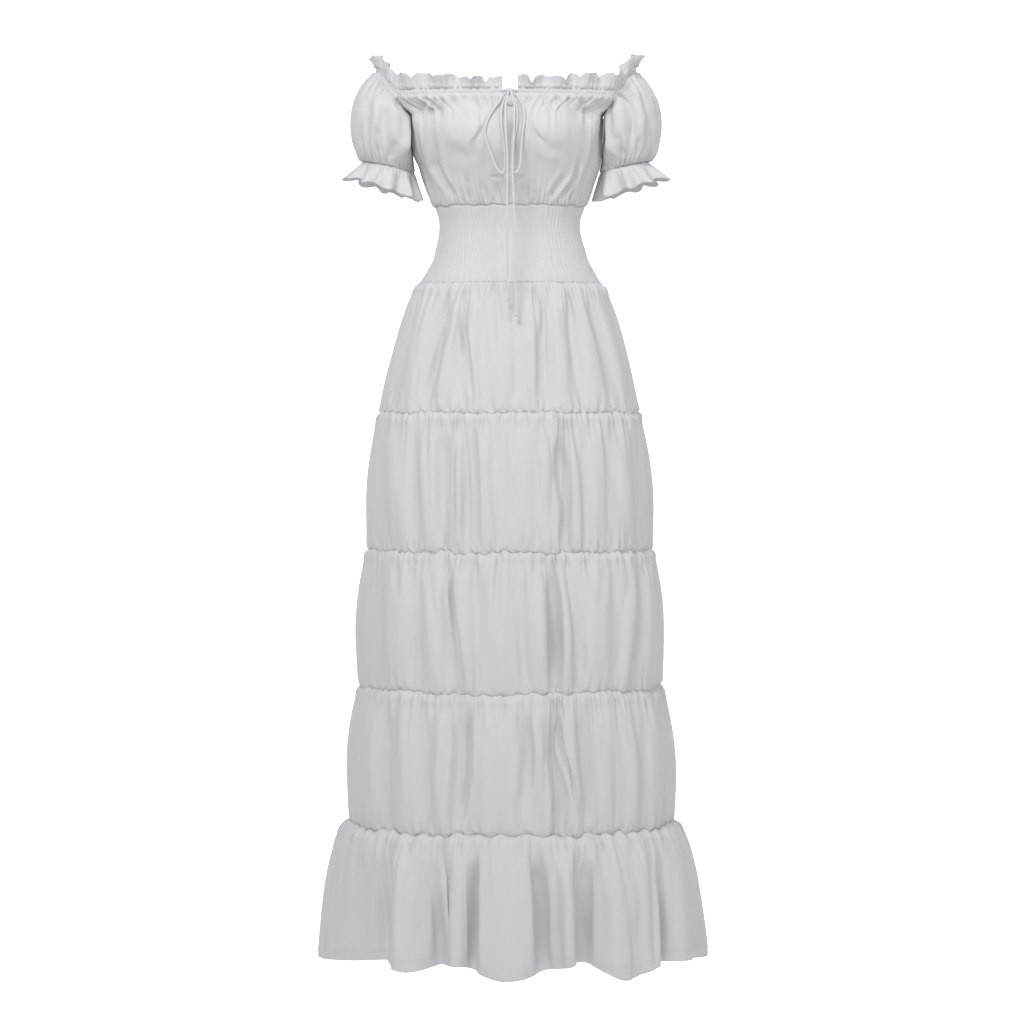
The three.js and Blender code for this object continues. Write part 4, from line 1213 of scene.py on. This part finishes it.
# %% [markdown]
# The frill of a cuff flares from the elastic in uneven waves. Its edge is narrow and turned, and it
# stands wider on the outside of the arm than on the inside, where it almost touches the bodice.


# %% The waves of a cuff frill
CUFF = {"waves": 10, "swing": 10, "dip": 2.2, "drop": 36, "edge": 4}
CUFF_INWARD = {"left": 7, "right": 1}  # how far the outer edge stands inside the solid's


def cuff_form(w, side, rows):
    """The frill's rings, whose waves grow from the elastic to the edge."""
    top, foot = np.array(SLEEVE[-1], float), np.array(CUFF_FRILL, float)
    foot[0] -= CUFF_INWARD["right" if side > 0 else "left"]
    angle = 360 * w - 90
    phase = 2 * np.pi * CUFF["waves"] * w + ripples(angle, 71 + side, [1, 2, 3], 0.55)
    size = 1 + ripples(angle, 75 + side, [2, 3, 5], 0.22)
    rings = []
    for t in np.linspace(0, 1, rows):
        section = mix(top, foot, t)
        ring = sleeve_ring(w, side, section)
        out = levelled(ring - (side * (section[0] + section[2]) / 2 + LEAN, SLEEVE_MIDDLE, 0))
        ring += out * (CUFF["swing"] * t**0.9 * size * np.sin(phase))[:, None]
        ring[:, 2] -= 0.5 * (1 - t) - t**2 * CUFF["dip"] * size * np.cos(phase + 0.7)
        rings.append(ring)
    return np.array(rings)


def cuff_sheet(side, columns, rows):
    w = np.arange(columns) / columns
    grid = cuff_form(w, side, rows)
    if side < 0:
        grid, w = grid[:, ::-1], w[::-1]
    down = np.linspace(0, CUFF["drop"], rows)[:, None]
    climb = CUFF["drop"] - down
    relief = gathers(w * CUFF_ROUND, down, CUFF_ROUND, 530 + side, SLEEVE_PLEATS["frill"])
    relief += 0.3 * np.cos(np.clip((climb - CUFF["edge"]) / 1.2, -np.pi, np.pi)) * (climb < CUFF["edge"] + 2)
    relief = relief * smoothstep(down, 0, 5) - (ELASTIC_INSET + TUCK) * near(down, 4)
    out = levelled(surface_out(grid, True))
    grid[..., 2] += 1.4 * near(down, 2.5)
    return grid + out * relief[..., None]


# %% Sleeves and cuff frills
SLEEVE_COLUMNS = int(216 * max(DETAIL, 0.5)) // 24 * 24
for word, side in (("right", 1), ("left", -1)):
    grid = sleeve_sheet(side, SLEEVE_COLUMNS, int(52 * max(DETAIL, 0.5)))
    cloth_piece("sleeve-" + word, grid, ["sleeve_" + word])
    grid = cuff_sheet(side, int(360 * max(DETAIL, 0.5)), 15)
    cloth_piece("cuff-frill-" + word, grid, ["cuff_frill_" + word])
    print("cuff frill", word, "is", round(along_rows(grid, True)[-1]), "mm round at its middle")

# %% [markdown]
# ## The neckline
#
# The casing is a strip folded over the elastic. It is soft and round, and the elastic wrinkles it
# crosswise. Above it stands the frill, an extra width of the same strip: it leans outwards, waves
# in and out, and its upper edge dips wherever a wave turns. At the front both are open, where the
# drawstring comes out.

# %% Sizes of the casing and the frill
NECK_GAP = (-10, 13)
NECK_FRILL = {"front": 17, "side": 23, "shoulder": 15, "waves": 22, "swing": 7, "lean": 6}
FRILL_DIPS = [
    (-109, 5), (-56, 6), (-34, 11), (-24, 3), (33, 10), (81, 5), (104, 5), (132, 6), (-140, 6), (152, 4),
]
NECK_LENGTH = 1010
FRILL_PLEATS = (7, (1.4, 2.8), (1, 2.6), (7, 22))
NECK_STOPS = [
    neck_angle(NECK_GAP[1]), RAGLAN_ANGLE, 180 - RAGLAN_ANGLE, 180 + RAGLAN_ANGLE,
    360 - RAGLAN_ANGLE, 360 + neck_angle(NECK_GAP[0]),
]
NECK_PLACES = np.array([0, 10, 24, 42, 56, 66]) / 66  # the share of the columns at each stop
print("neckline is open for", NECK_GAP[1] - NECK_GAP[0], "mm at the front")


def neck_stations(count):
    """Angles along the neckline from one side of the gap round to the other."""
    return np.interp(np.linspace(0, 1, count), NECK_PLACES, NECK_STOPS)


# %% The casing
def casing_ring(count):
    """Rounded sections along the casing, with the crosswise wrinkles that the elastic makes."""
    angle = neck_stations(count)
    middle = neck_point(angle, 0, CASING["out"])
    out = neck_point(angle, 0, CASING["out"] + 1) - middle
    along = run_along(middle)
    fine = 0.3 * np.sin(along / 0.9 + 1.4 * np.sin(along / 7))
    wrinkle = fine + np.abs(np.sin(along / 2.6 + 2.4 * np.sin(along / 9))) - 0.5
    wander = 0.5 * np.sin(along / 5 + 2 * np.sin(along / 19))
    sections = []
    for turn in np.linspace(2 * math.pi, 0, 15)[1:]:
        up = signed_power(math.sin(turn), 0.8) * CASING["height"] / 2
        away = signed_power(math.cos(turn), 0.7) * (CASING["thick"] / 2 - 0.6) - 0.3
        point = middle + out * (away + wrinkle * (1 if away > 0 else 0.4))[:, None]
        point[:, 2] += up * (1 + 0.25 * wrinkle) + wander
        sections.append(point)
    return np.stack(sections, axis=1)


# %% The frill's upper edge
def frill_height(x, share):
    """The height of the frill along the neckline, with a tip over each shoulder."""
    away = np.abs(x - LEAN)
    tall = mix(NECK_FRILL["front"], NECK_FRILL["side"], smoothstep(away, 60, 130))
    tall = mix(tall, NECK_FRILL["shoulder"], smoothstep(away, 165, 190)) + 8 * hump(away, 178, 8)
    return 0.96 * tall * (1 + ripples(share * 360, 81, [9, 14, 23, 31], 0.045))


def frill_form(count, rows):
    angle = neck_stations(count)
    share = np.linspace(0, 1, count)
    x, y, _ = neck_point(angle).T
    tall = frill_height(x, share)
    dip = sum(depth * hump(x, at, 3.4) for at, depth in FRILL_DIPS) * (y < 0)
    phase = 2 * np.pi * NECK_FRILL["waves"] * share + ripples(share * 360, 82, [3, 5, 8], 0.5)
    size = 1 + ripples(share * 360, 83, [4, 7, 11], 0.2)
    lines = []
    for t in np.linspace(1, 0, rows):
        lift = CASING["height"] / 2 - 1.5 + (tall + 1.8 - dip * t) * t + 1.2 * t * np.sin(2 * phase + 0.6)
        wave = NECK_FRILL["swing"] * t**0.9 * size * np.sin(phase) + 1.6 * t**2 * np.sin(2.3 * phase + 1)
        lines.append(neck_point(angle, lift, NECK_FRILL["lean"] * t + wave))
    return np.array(lines)


# %% The casing and the frill
def frill_sheet(count, rows):
    grid = frill_form(count, rows)
    climb = np.linspace(20, 0, rows)[:, None]
    along = np.linspace(0, 1, count) * NECK_LENGTH
    relief = gathers(along, climb, NECK_LENGTH, 84, FRILL_PLEATS, False)
    relief = (relief + 1.6 * hump(climb, 4, 2.6)) * smoothstep(climb, 0, 3)
    return grid + surface_out(grid) * relief[..., None]


casing = mesh_object("neckline-casing", casing_ring(int(640 * DETAIL)), True)
add_to_dress(casing, "cloth", ["neck_casing"])
frill_grid = frill_sheet(int(860 * DETAIL), 12)
cloth_piece("neckline-frill", frill_grid, ["neck_frill"], closed=False)
print("frill is", round(along_rows(frill_grid, False)[-1]), "mm long at its middle")

# %% [markdown]
# ## The cut of each sheet
#
# Before it was gathered, each piece of the skirt was a plain strip, and the shop can cut it again
# from these sizes. A tier's width is measured all the way round.


# %% Cut sizes and the share of each cut
def surface_area(obj):
    """The area in square metres of one side of a grid mesh."""
    areas = np.empty(len(obj.data.polygons))
    obj.data.polygons.foreach_get("area", areas)
    return areas.sum()


# Each piece has its flat size in metres and the piece that it rests on.
CUTS = {
    "tier-1": ((1.20, 0.205), "waistband"),
    "tier-2": ((1.42, 0.215), "tier-1"),
    "tier-3": ((1.55, 0.215), "tier-2"),
    "tier-4": ((1.72, 0.215), "tier-3"),
    "tier-5": ((2.15, 0.225), "tier-4"),
    "bodice-front-left": ((0.235, 0.20), "waistband"),
    "bodice-front-right": ((0.235, 0.20), "waistband"),
    "bodice-back": ((0.43, 0.19), "waistband"),
    "waistband": ((0.82, 0.12), "tier-1"),
    "sleeve-left": ((0.45, 0.13), "neckline-casing"),
    "sleeve-right": ((0.45, 0.13), "neckline-casing"),
    "cuff-frill-left": ((0.52, 0.037), "sleeve-left"),
    "cuff-frill-right": ((0.52, 0.037), "sleeve-right"),
    "neckline-frill": ((1.15, 0.024), "neckline-casing"),
}
for name, (cut, carrier) in CUTS.items():
    sheet = bpy.data.objects[name]
    print(name, "share of its cut:", round(surface_area(sheet) / (cut[0] * cut[1]), 2))

# %% [markdown]
# ## Cotton
#
# The cloth is a plain weave of fine threads, matte and a little crinkled from its wash. Three node
# groups give heights or masks from the UV map, which is in metres: the weave, the crinkle and a row
# of stitches. The materials add them up in a bump, so each piece shares the same cloth.


# %% Tools for node groups
def new_group(name, inputs, output):
    """A shader node group with named number inputs and one output, and its two end nodes."""
    group = bpy.data.node_groups.new(name, "ShaderNodeTree")
    for label, value in inputs.items():
        socket = group.interface.new_socket(label, in_out="INPUT", socket_type="NodeSocketFloat")
        socket.default_value = value
    group.interface.new_socket(output, in_out="OUTPUT", socket_type="NodeSocketFloat")
    start = group.nodes.new("NodeGroupInput")
    end = group.nodes.new("NodeGroupOutput")
    return group, start, end


def math_node(group, operation, a, b=None):
    """A Math node whose inputs are sockets or numbers."""
    node = group.nodes.new("ShaderNodeMath")
    node.operation = operation
    for socket, value in zip(node.inputs, (a, b)):
        if isinstance(value, (int, float)):
            socket.default_value = value
        elif value is not None:
            group.links.new(value, socket)
    return node.outputs[0]


def uv_parts(group):
    """The metres along and down the cloth."""
    uv = group.nodes.new("ShaderNodeUVMap")
    uv.uv_map = "cloth metres"
    parts = group.nodes.new("ShaderNodeSeparateXYZ")
    group.links.new(uv.outputs["UV"], parts.inputs[0])
    return parts.outputs["X"], parts.outputs["Y"]


# %% Plain weave
weave, start, end = new_group("plain weave", {"Threads per metre": 2100.0}, "Height")
u, v = uv_parts(weave)
turns = math_node(weave, "MULTIPLY", start.outputs["Threads per metre"], math.pi)
warp = math_node(weave, "SINE", math_node(weave, "MULTIPLY", u, turns))
weft = math_node(weave, "SINE", math_node(weave, "MULTIPLY", v, turns))
crossing = math_node(weave, "MULTIPLY", warp, weft)
weave.links.new(math_node(weave, "ABSOLUTE", crossing), end.inputs["Height"])

# %% Crinkle
crinkle, start, end = new_group("crinkle", {"Scale": 160.0, "Stretch": 0.35}, "Height")
u, v = uv_parts(crinkle)
joined = crinkle.nodes.new("ShaderNodeCombineXYZ")
crinkle.links.new(u, joined.inputs["X"])
crinkle.links.new(math_node(crinkle, "MULTIPLY", v, start.outputs["Stretch"]), joined.inputs["Y"])
noise = crinkle.nodes.new("ShaderNodeTexNoise")
noise.inputs["Detail"].default_value = 5
noise.inputs["Roughness"].default_value = 0.55
crinkle.links.new(joined.outputs[0], noise.inputs["Vector"])
crinkle.links.new(start.outputs["Scale"], noise.inputs["Scale"])
crinkle.links.new(noise.outputs["Fac"], end.inputs["Height"])

# %% Row of stitches
STITCH = {"half": 0.0004, "share": 0.72}

stitches, start, end = new_group("stitch row", {"Row": -0.19, "Stitch": 0.0028}, "Mask")
u, v = uv_parts(stitches)
away = math_node(stitches, "ABSOLUTE", math_node(stitches, "SUBTRACT", v, start.outputs["Row"]))
on_row = math_node(stitches, "LESS_THAN", away, STITCH["half"])
phase = math_node(stitches, "FRACT", math_node(stitches, "DIVIDE", u, start.outputs["Stitch"]))
dash = math_node(stitches, "LESS_THAN", phase, STITCH["share"])
stitches.links.new(math_node(stitches, "MULTIPLY", on_row, dash), end.inputs["Mask"])
print("node groups:", [group.name for group in bpy.data.node_groups])

# %% [markdown]
# Thin cotton lets a little light through, so its shader is a matte surface mixed with a small share
# of a translucent one. A faint sheen stands for the fibres that stand up from the threads.


# %% Tools for materials
def add_group(tree, group, values):
    node = tree.nodes.new("ShaderNodeGroup")
    node.node_tree = group
    for label, value in values.items():
        node.inputs[label].default_value = value
    return node.outputs[0]


def bump(tree, height, distance, strength, normal=None):
    node = tree.nodes.new("ShaderNodeBump")
    node.inputs["Distance"].default_value = distance * MM
    node.inputs["Strength"].default_value = strength
    tree.links.new(height, node.inputs["Height"])
    if normal is not None:
        tree.links.new(normal, node.inputs["Normal"])
    return node.outputs["Normal"]


# %% A cotton material
THREADS = {"Threads per metre": 2100.0}
LONG_CRINKLE = {"Scale": 110.0, "Stretch": 0.3}
SHORT_CRINKLE = {"Scale": 420.0, "Stretch": 0.8}


def cotton(name, color, crinkle_depth, through, stitch_rows=()):
    """A matte cotton: its colour, the depth of its crinkle and the share of light it lets through."""
    material = bpy.data.materials.new(name)
    material.use_nodes = True
    tree = material.node_tree
    surface = tree.nodes["Principled BSDF"]
    surface.inputs["Base Color"].default_value = (*color, 1)
    surface.inputs["Roughness"].default_value = 0.88
    surface.inputs["Specular IOR Level"].default_value = 0.25
    surface.inputs["Sheen Weight"].default_value = 0.12
    surface.inputs["Sheen Roughness"].default_value = 0.5
    normal = bump(tree, add_group(tree, crinkle, LONG_CRINKLE), crinkle_depth, 0.55)
    normal = bump(tree, add_group(tree, crinkle, SHORT_CRINKLE), crinkle_depth * 0.3, 0.5, normal)
    normal = bump(tree, add_group(tree, weave, THREADS), 0.12, 0.35, normal)
    for row in stitch_rows:
        normal = bump(tree, add_group(tree, stitches, {"Row": row, "Stitch": 0.0028}), 0.4, 0.8, normal)
    tree.links.new(normal, surface.inputs["Normal"])
    thin = tree.nodes.new("ShaderNodeBsdfTranslucent")
    thin.inputs["Color"].default_value = (*color, 1)
    tree.links.new(normal, thin.inputs["Normal"])
    both = tree.nodes.new("ShaderNodeMixShader")
    both.inputs["Fac"].default_value = through
    tree.links.new(surface.outputs[0], both.inputs[1])
    tree.links.new(thin.outputs[0], both.inputs[2])
    tree.links.new(both.outputs[0], tree.nodes["Material Output"].inputs["Surface"])
    return material


# %% The cotton of the dress
CLOTH_COLOR = (0.696, 0.703, 0.724)
TRIM_COLOR = (0.76, 0.762, 0.78)
hem_row = -(down_columns(tier_sheet(LAST_TIER, 200, TIER_ROWS))[-1] - HEM_STITCHES) * MM
cloth_material = cotton("white cotton", CLOTH_COLOR, 0.8, 0.08)
hem_material = cotton("white cotton with hem stitches", CLOTH_COLOR, 0.8, 0.08, [hem_row])
trim_material = cotton("cotton trim", TRIM_COLOR, 0.4, 0.04)
print("hem stitches at", round(-hem_row / MM), "mm down the last tier")

# %% [markdown]
# The cord is braided from soft yarn. Two families of slanting threads cross each other round it,
# so its bump is the product of two waves, along and round the cord.

# %% Braid
BRAID = {"Turns per metre": 260.0, "Threads round": 560.0}

braid, start, end = new_group("braid", BRAID, "Height")
u, v = uv_parts(braid)
turns = math_node(braid, "MULTIPLY", start.outputs["Turns per metre"], 2 * math.pi)
threads = math_node(braid, "MULTIPLY", start.outputs["Threads round"], 2 * math.pi)
run = math_node(braid, "MULTIPLY", v, turns)
wind = math_node(braid, "MULTIPLY", u, threads)
left = math_node(braid, "SINE", math_node(braid, "ADD", run, wind))
right = math_node(braid, "SINE", math_node(braid, "SUBTRACT", run, wind))
braid.links.new(math_node(braid, "MAXIMUM", left, right), end.inputs["Height"])

# %% Materials on the pieces
cord_material = cotton("braided cord", TRIM_COLOR, 0.2, 0.02)
tree = cord_material.node_tree
normal = bump(tree, add_group(tree, braid, BRAID), 0.35, 0.7)
tree.links.new(normal, tree.nodes["Principled BSDF"].inputs["Normal"])

cord_pieces = [knot, *tips.values(), *cords.values()]
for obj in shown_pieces():
    material = cloth_material
    if obj in cord_pieces:
        material = cord_material
    elif obj.get("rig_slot") == "trim":
        material = trim_material
    elif obj.name == "tier-5":
        material = hem_material
    obj.data.materials.clear()
    obj.data.materials.append(material)

# %% [markdown]
# ## Light and floor
#
# The picture is a plain studio one: a white ground, one broad light from the upper left, a
# weaker one from the right, and soft light from all round.

# %% Floor
bpy.context.scene.view_settings.view_transform = "Standard"
FLOOR = {"z": -1500, "front": -4000, "bright from": 1500, "flat to": 5800, "curve": 1200}
WALL = {"top": 4200, "half": 6500}

floor_profile = [(FLOOR["front"], FLOOR["z"]), (FLOOR["bright from"], FLOOR["z"])]
for turn in np.linspace(0, math.pi / 2, 13):
    y = FLOOR["flat to"] + FLOOR["curve"] * math.sin(turn)
    floor_profile.append((y, FLOOR["z"] + FLOOR["curve"] * (1 - math.cos(turn))))
floor_profile.append((FLOOR["flat to"] + FLOOR["curve"], WALL["top"]))
floor_columns = np.linspace(-WALL["half"], WALL["half"], 14)
floor_grid = np.array([[(x, y, z) for y, z in floor_profile] for x in floor_columns], float)
floor = mesh_object("floor", floor_grid)
floor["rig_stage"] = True


def paint(name, glow):
    """A pale matte paint, with some light of its own where it has to stay white."""
    material = bpy.data.materials.new(name)
    material.use_nodes = True
    surface = material.node_tree.nodes["Principled BSDF"]
    surface.inputs["Base Color"].default_value = (0.9, 0.9, 0.9, 1)
    surface.inputs["Roughness"].default_value = 0.9
    surface.inputs["Emission Color"].default_value = (1, 1, 1, 1)
    surface.inputs["Emission Strength"].default_value = glow
    return material


floor.data.materials.append(paint("pale floor", 0))
floor.data.materials.append(paint("bright ground", 0.8))
for face in floor.data.polygons:
    face.material_index = 1 if face.center.y > FLOOR["bright from"] * MM else 0
print("floor has", len(floor.data.polygons), "faces")

# %% Lights
# Each light has its name, its place in metres, its size and its power, and looks at the dress.
LIGHTS = [
    ("key", (-0.75, -1.95, 1.7), 1.1, 36),
    ("right fill", (1.8, -2.3, 1.2), 1.6, 18),
]
LIT_POINT = (0, 0, -0.1)
ROOM_LIGHT = 0.54
for name, place, size, power in LIGHTS:
    lamp = bpy.data.lights.new(name, "AREA")
    lamp.shape = "DISK"
    lamp.size = size
    lamp.energy = power
    light = bpy.data.objects.new(name, lamp)
    bpy.context.scene.collection.objects.link(light)
    light.location = place
    light.visible_camera = False
    aim = np.array(LIT_POINT) - place
    yaw = math.atan2(aim[1], aim[0]) - math.pi / 2
    pitch = math.atan2(math.hypot(aim[0], aim[1]), -aim[2])
    light.rotation_euler = (pitch, 0, yaw)

world = bpy.data.worlds.new("soft white room")
bpy.context.scene.world = world
world.use_nodes = True
room = world.node_tree.nodes["Background"]
room.inputs["Color"].default_value = (1, 1, 1, 1)
room.inputs["Strength"].default_value = ROOM_LIGHT
print("lights:", len(LIGHTS), "and the room")

# %% Finish
size = {"solids": solid_box, "pieces": [list(corner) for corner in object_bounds()]}
print("size:", size)
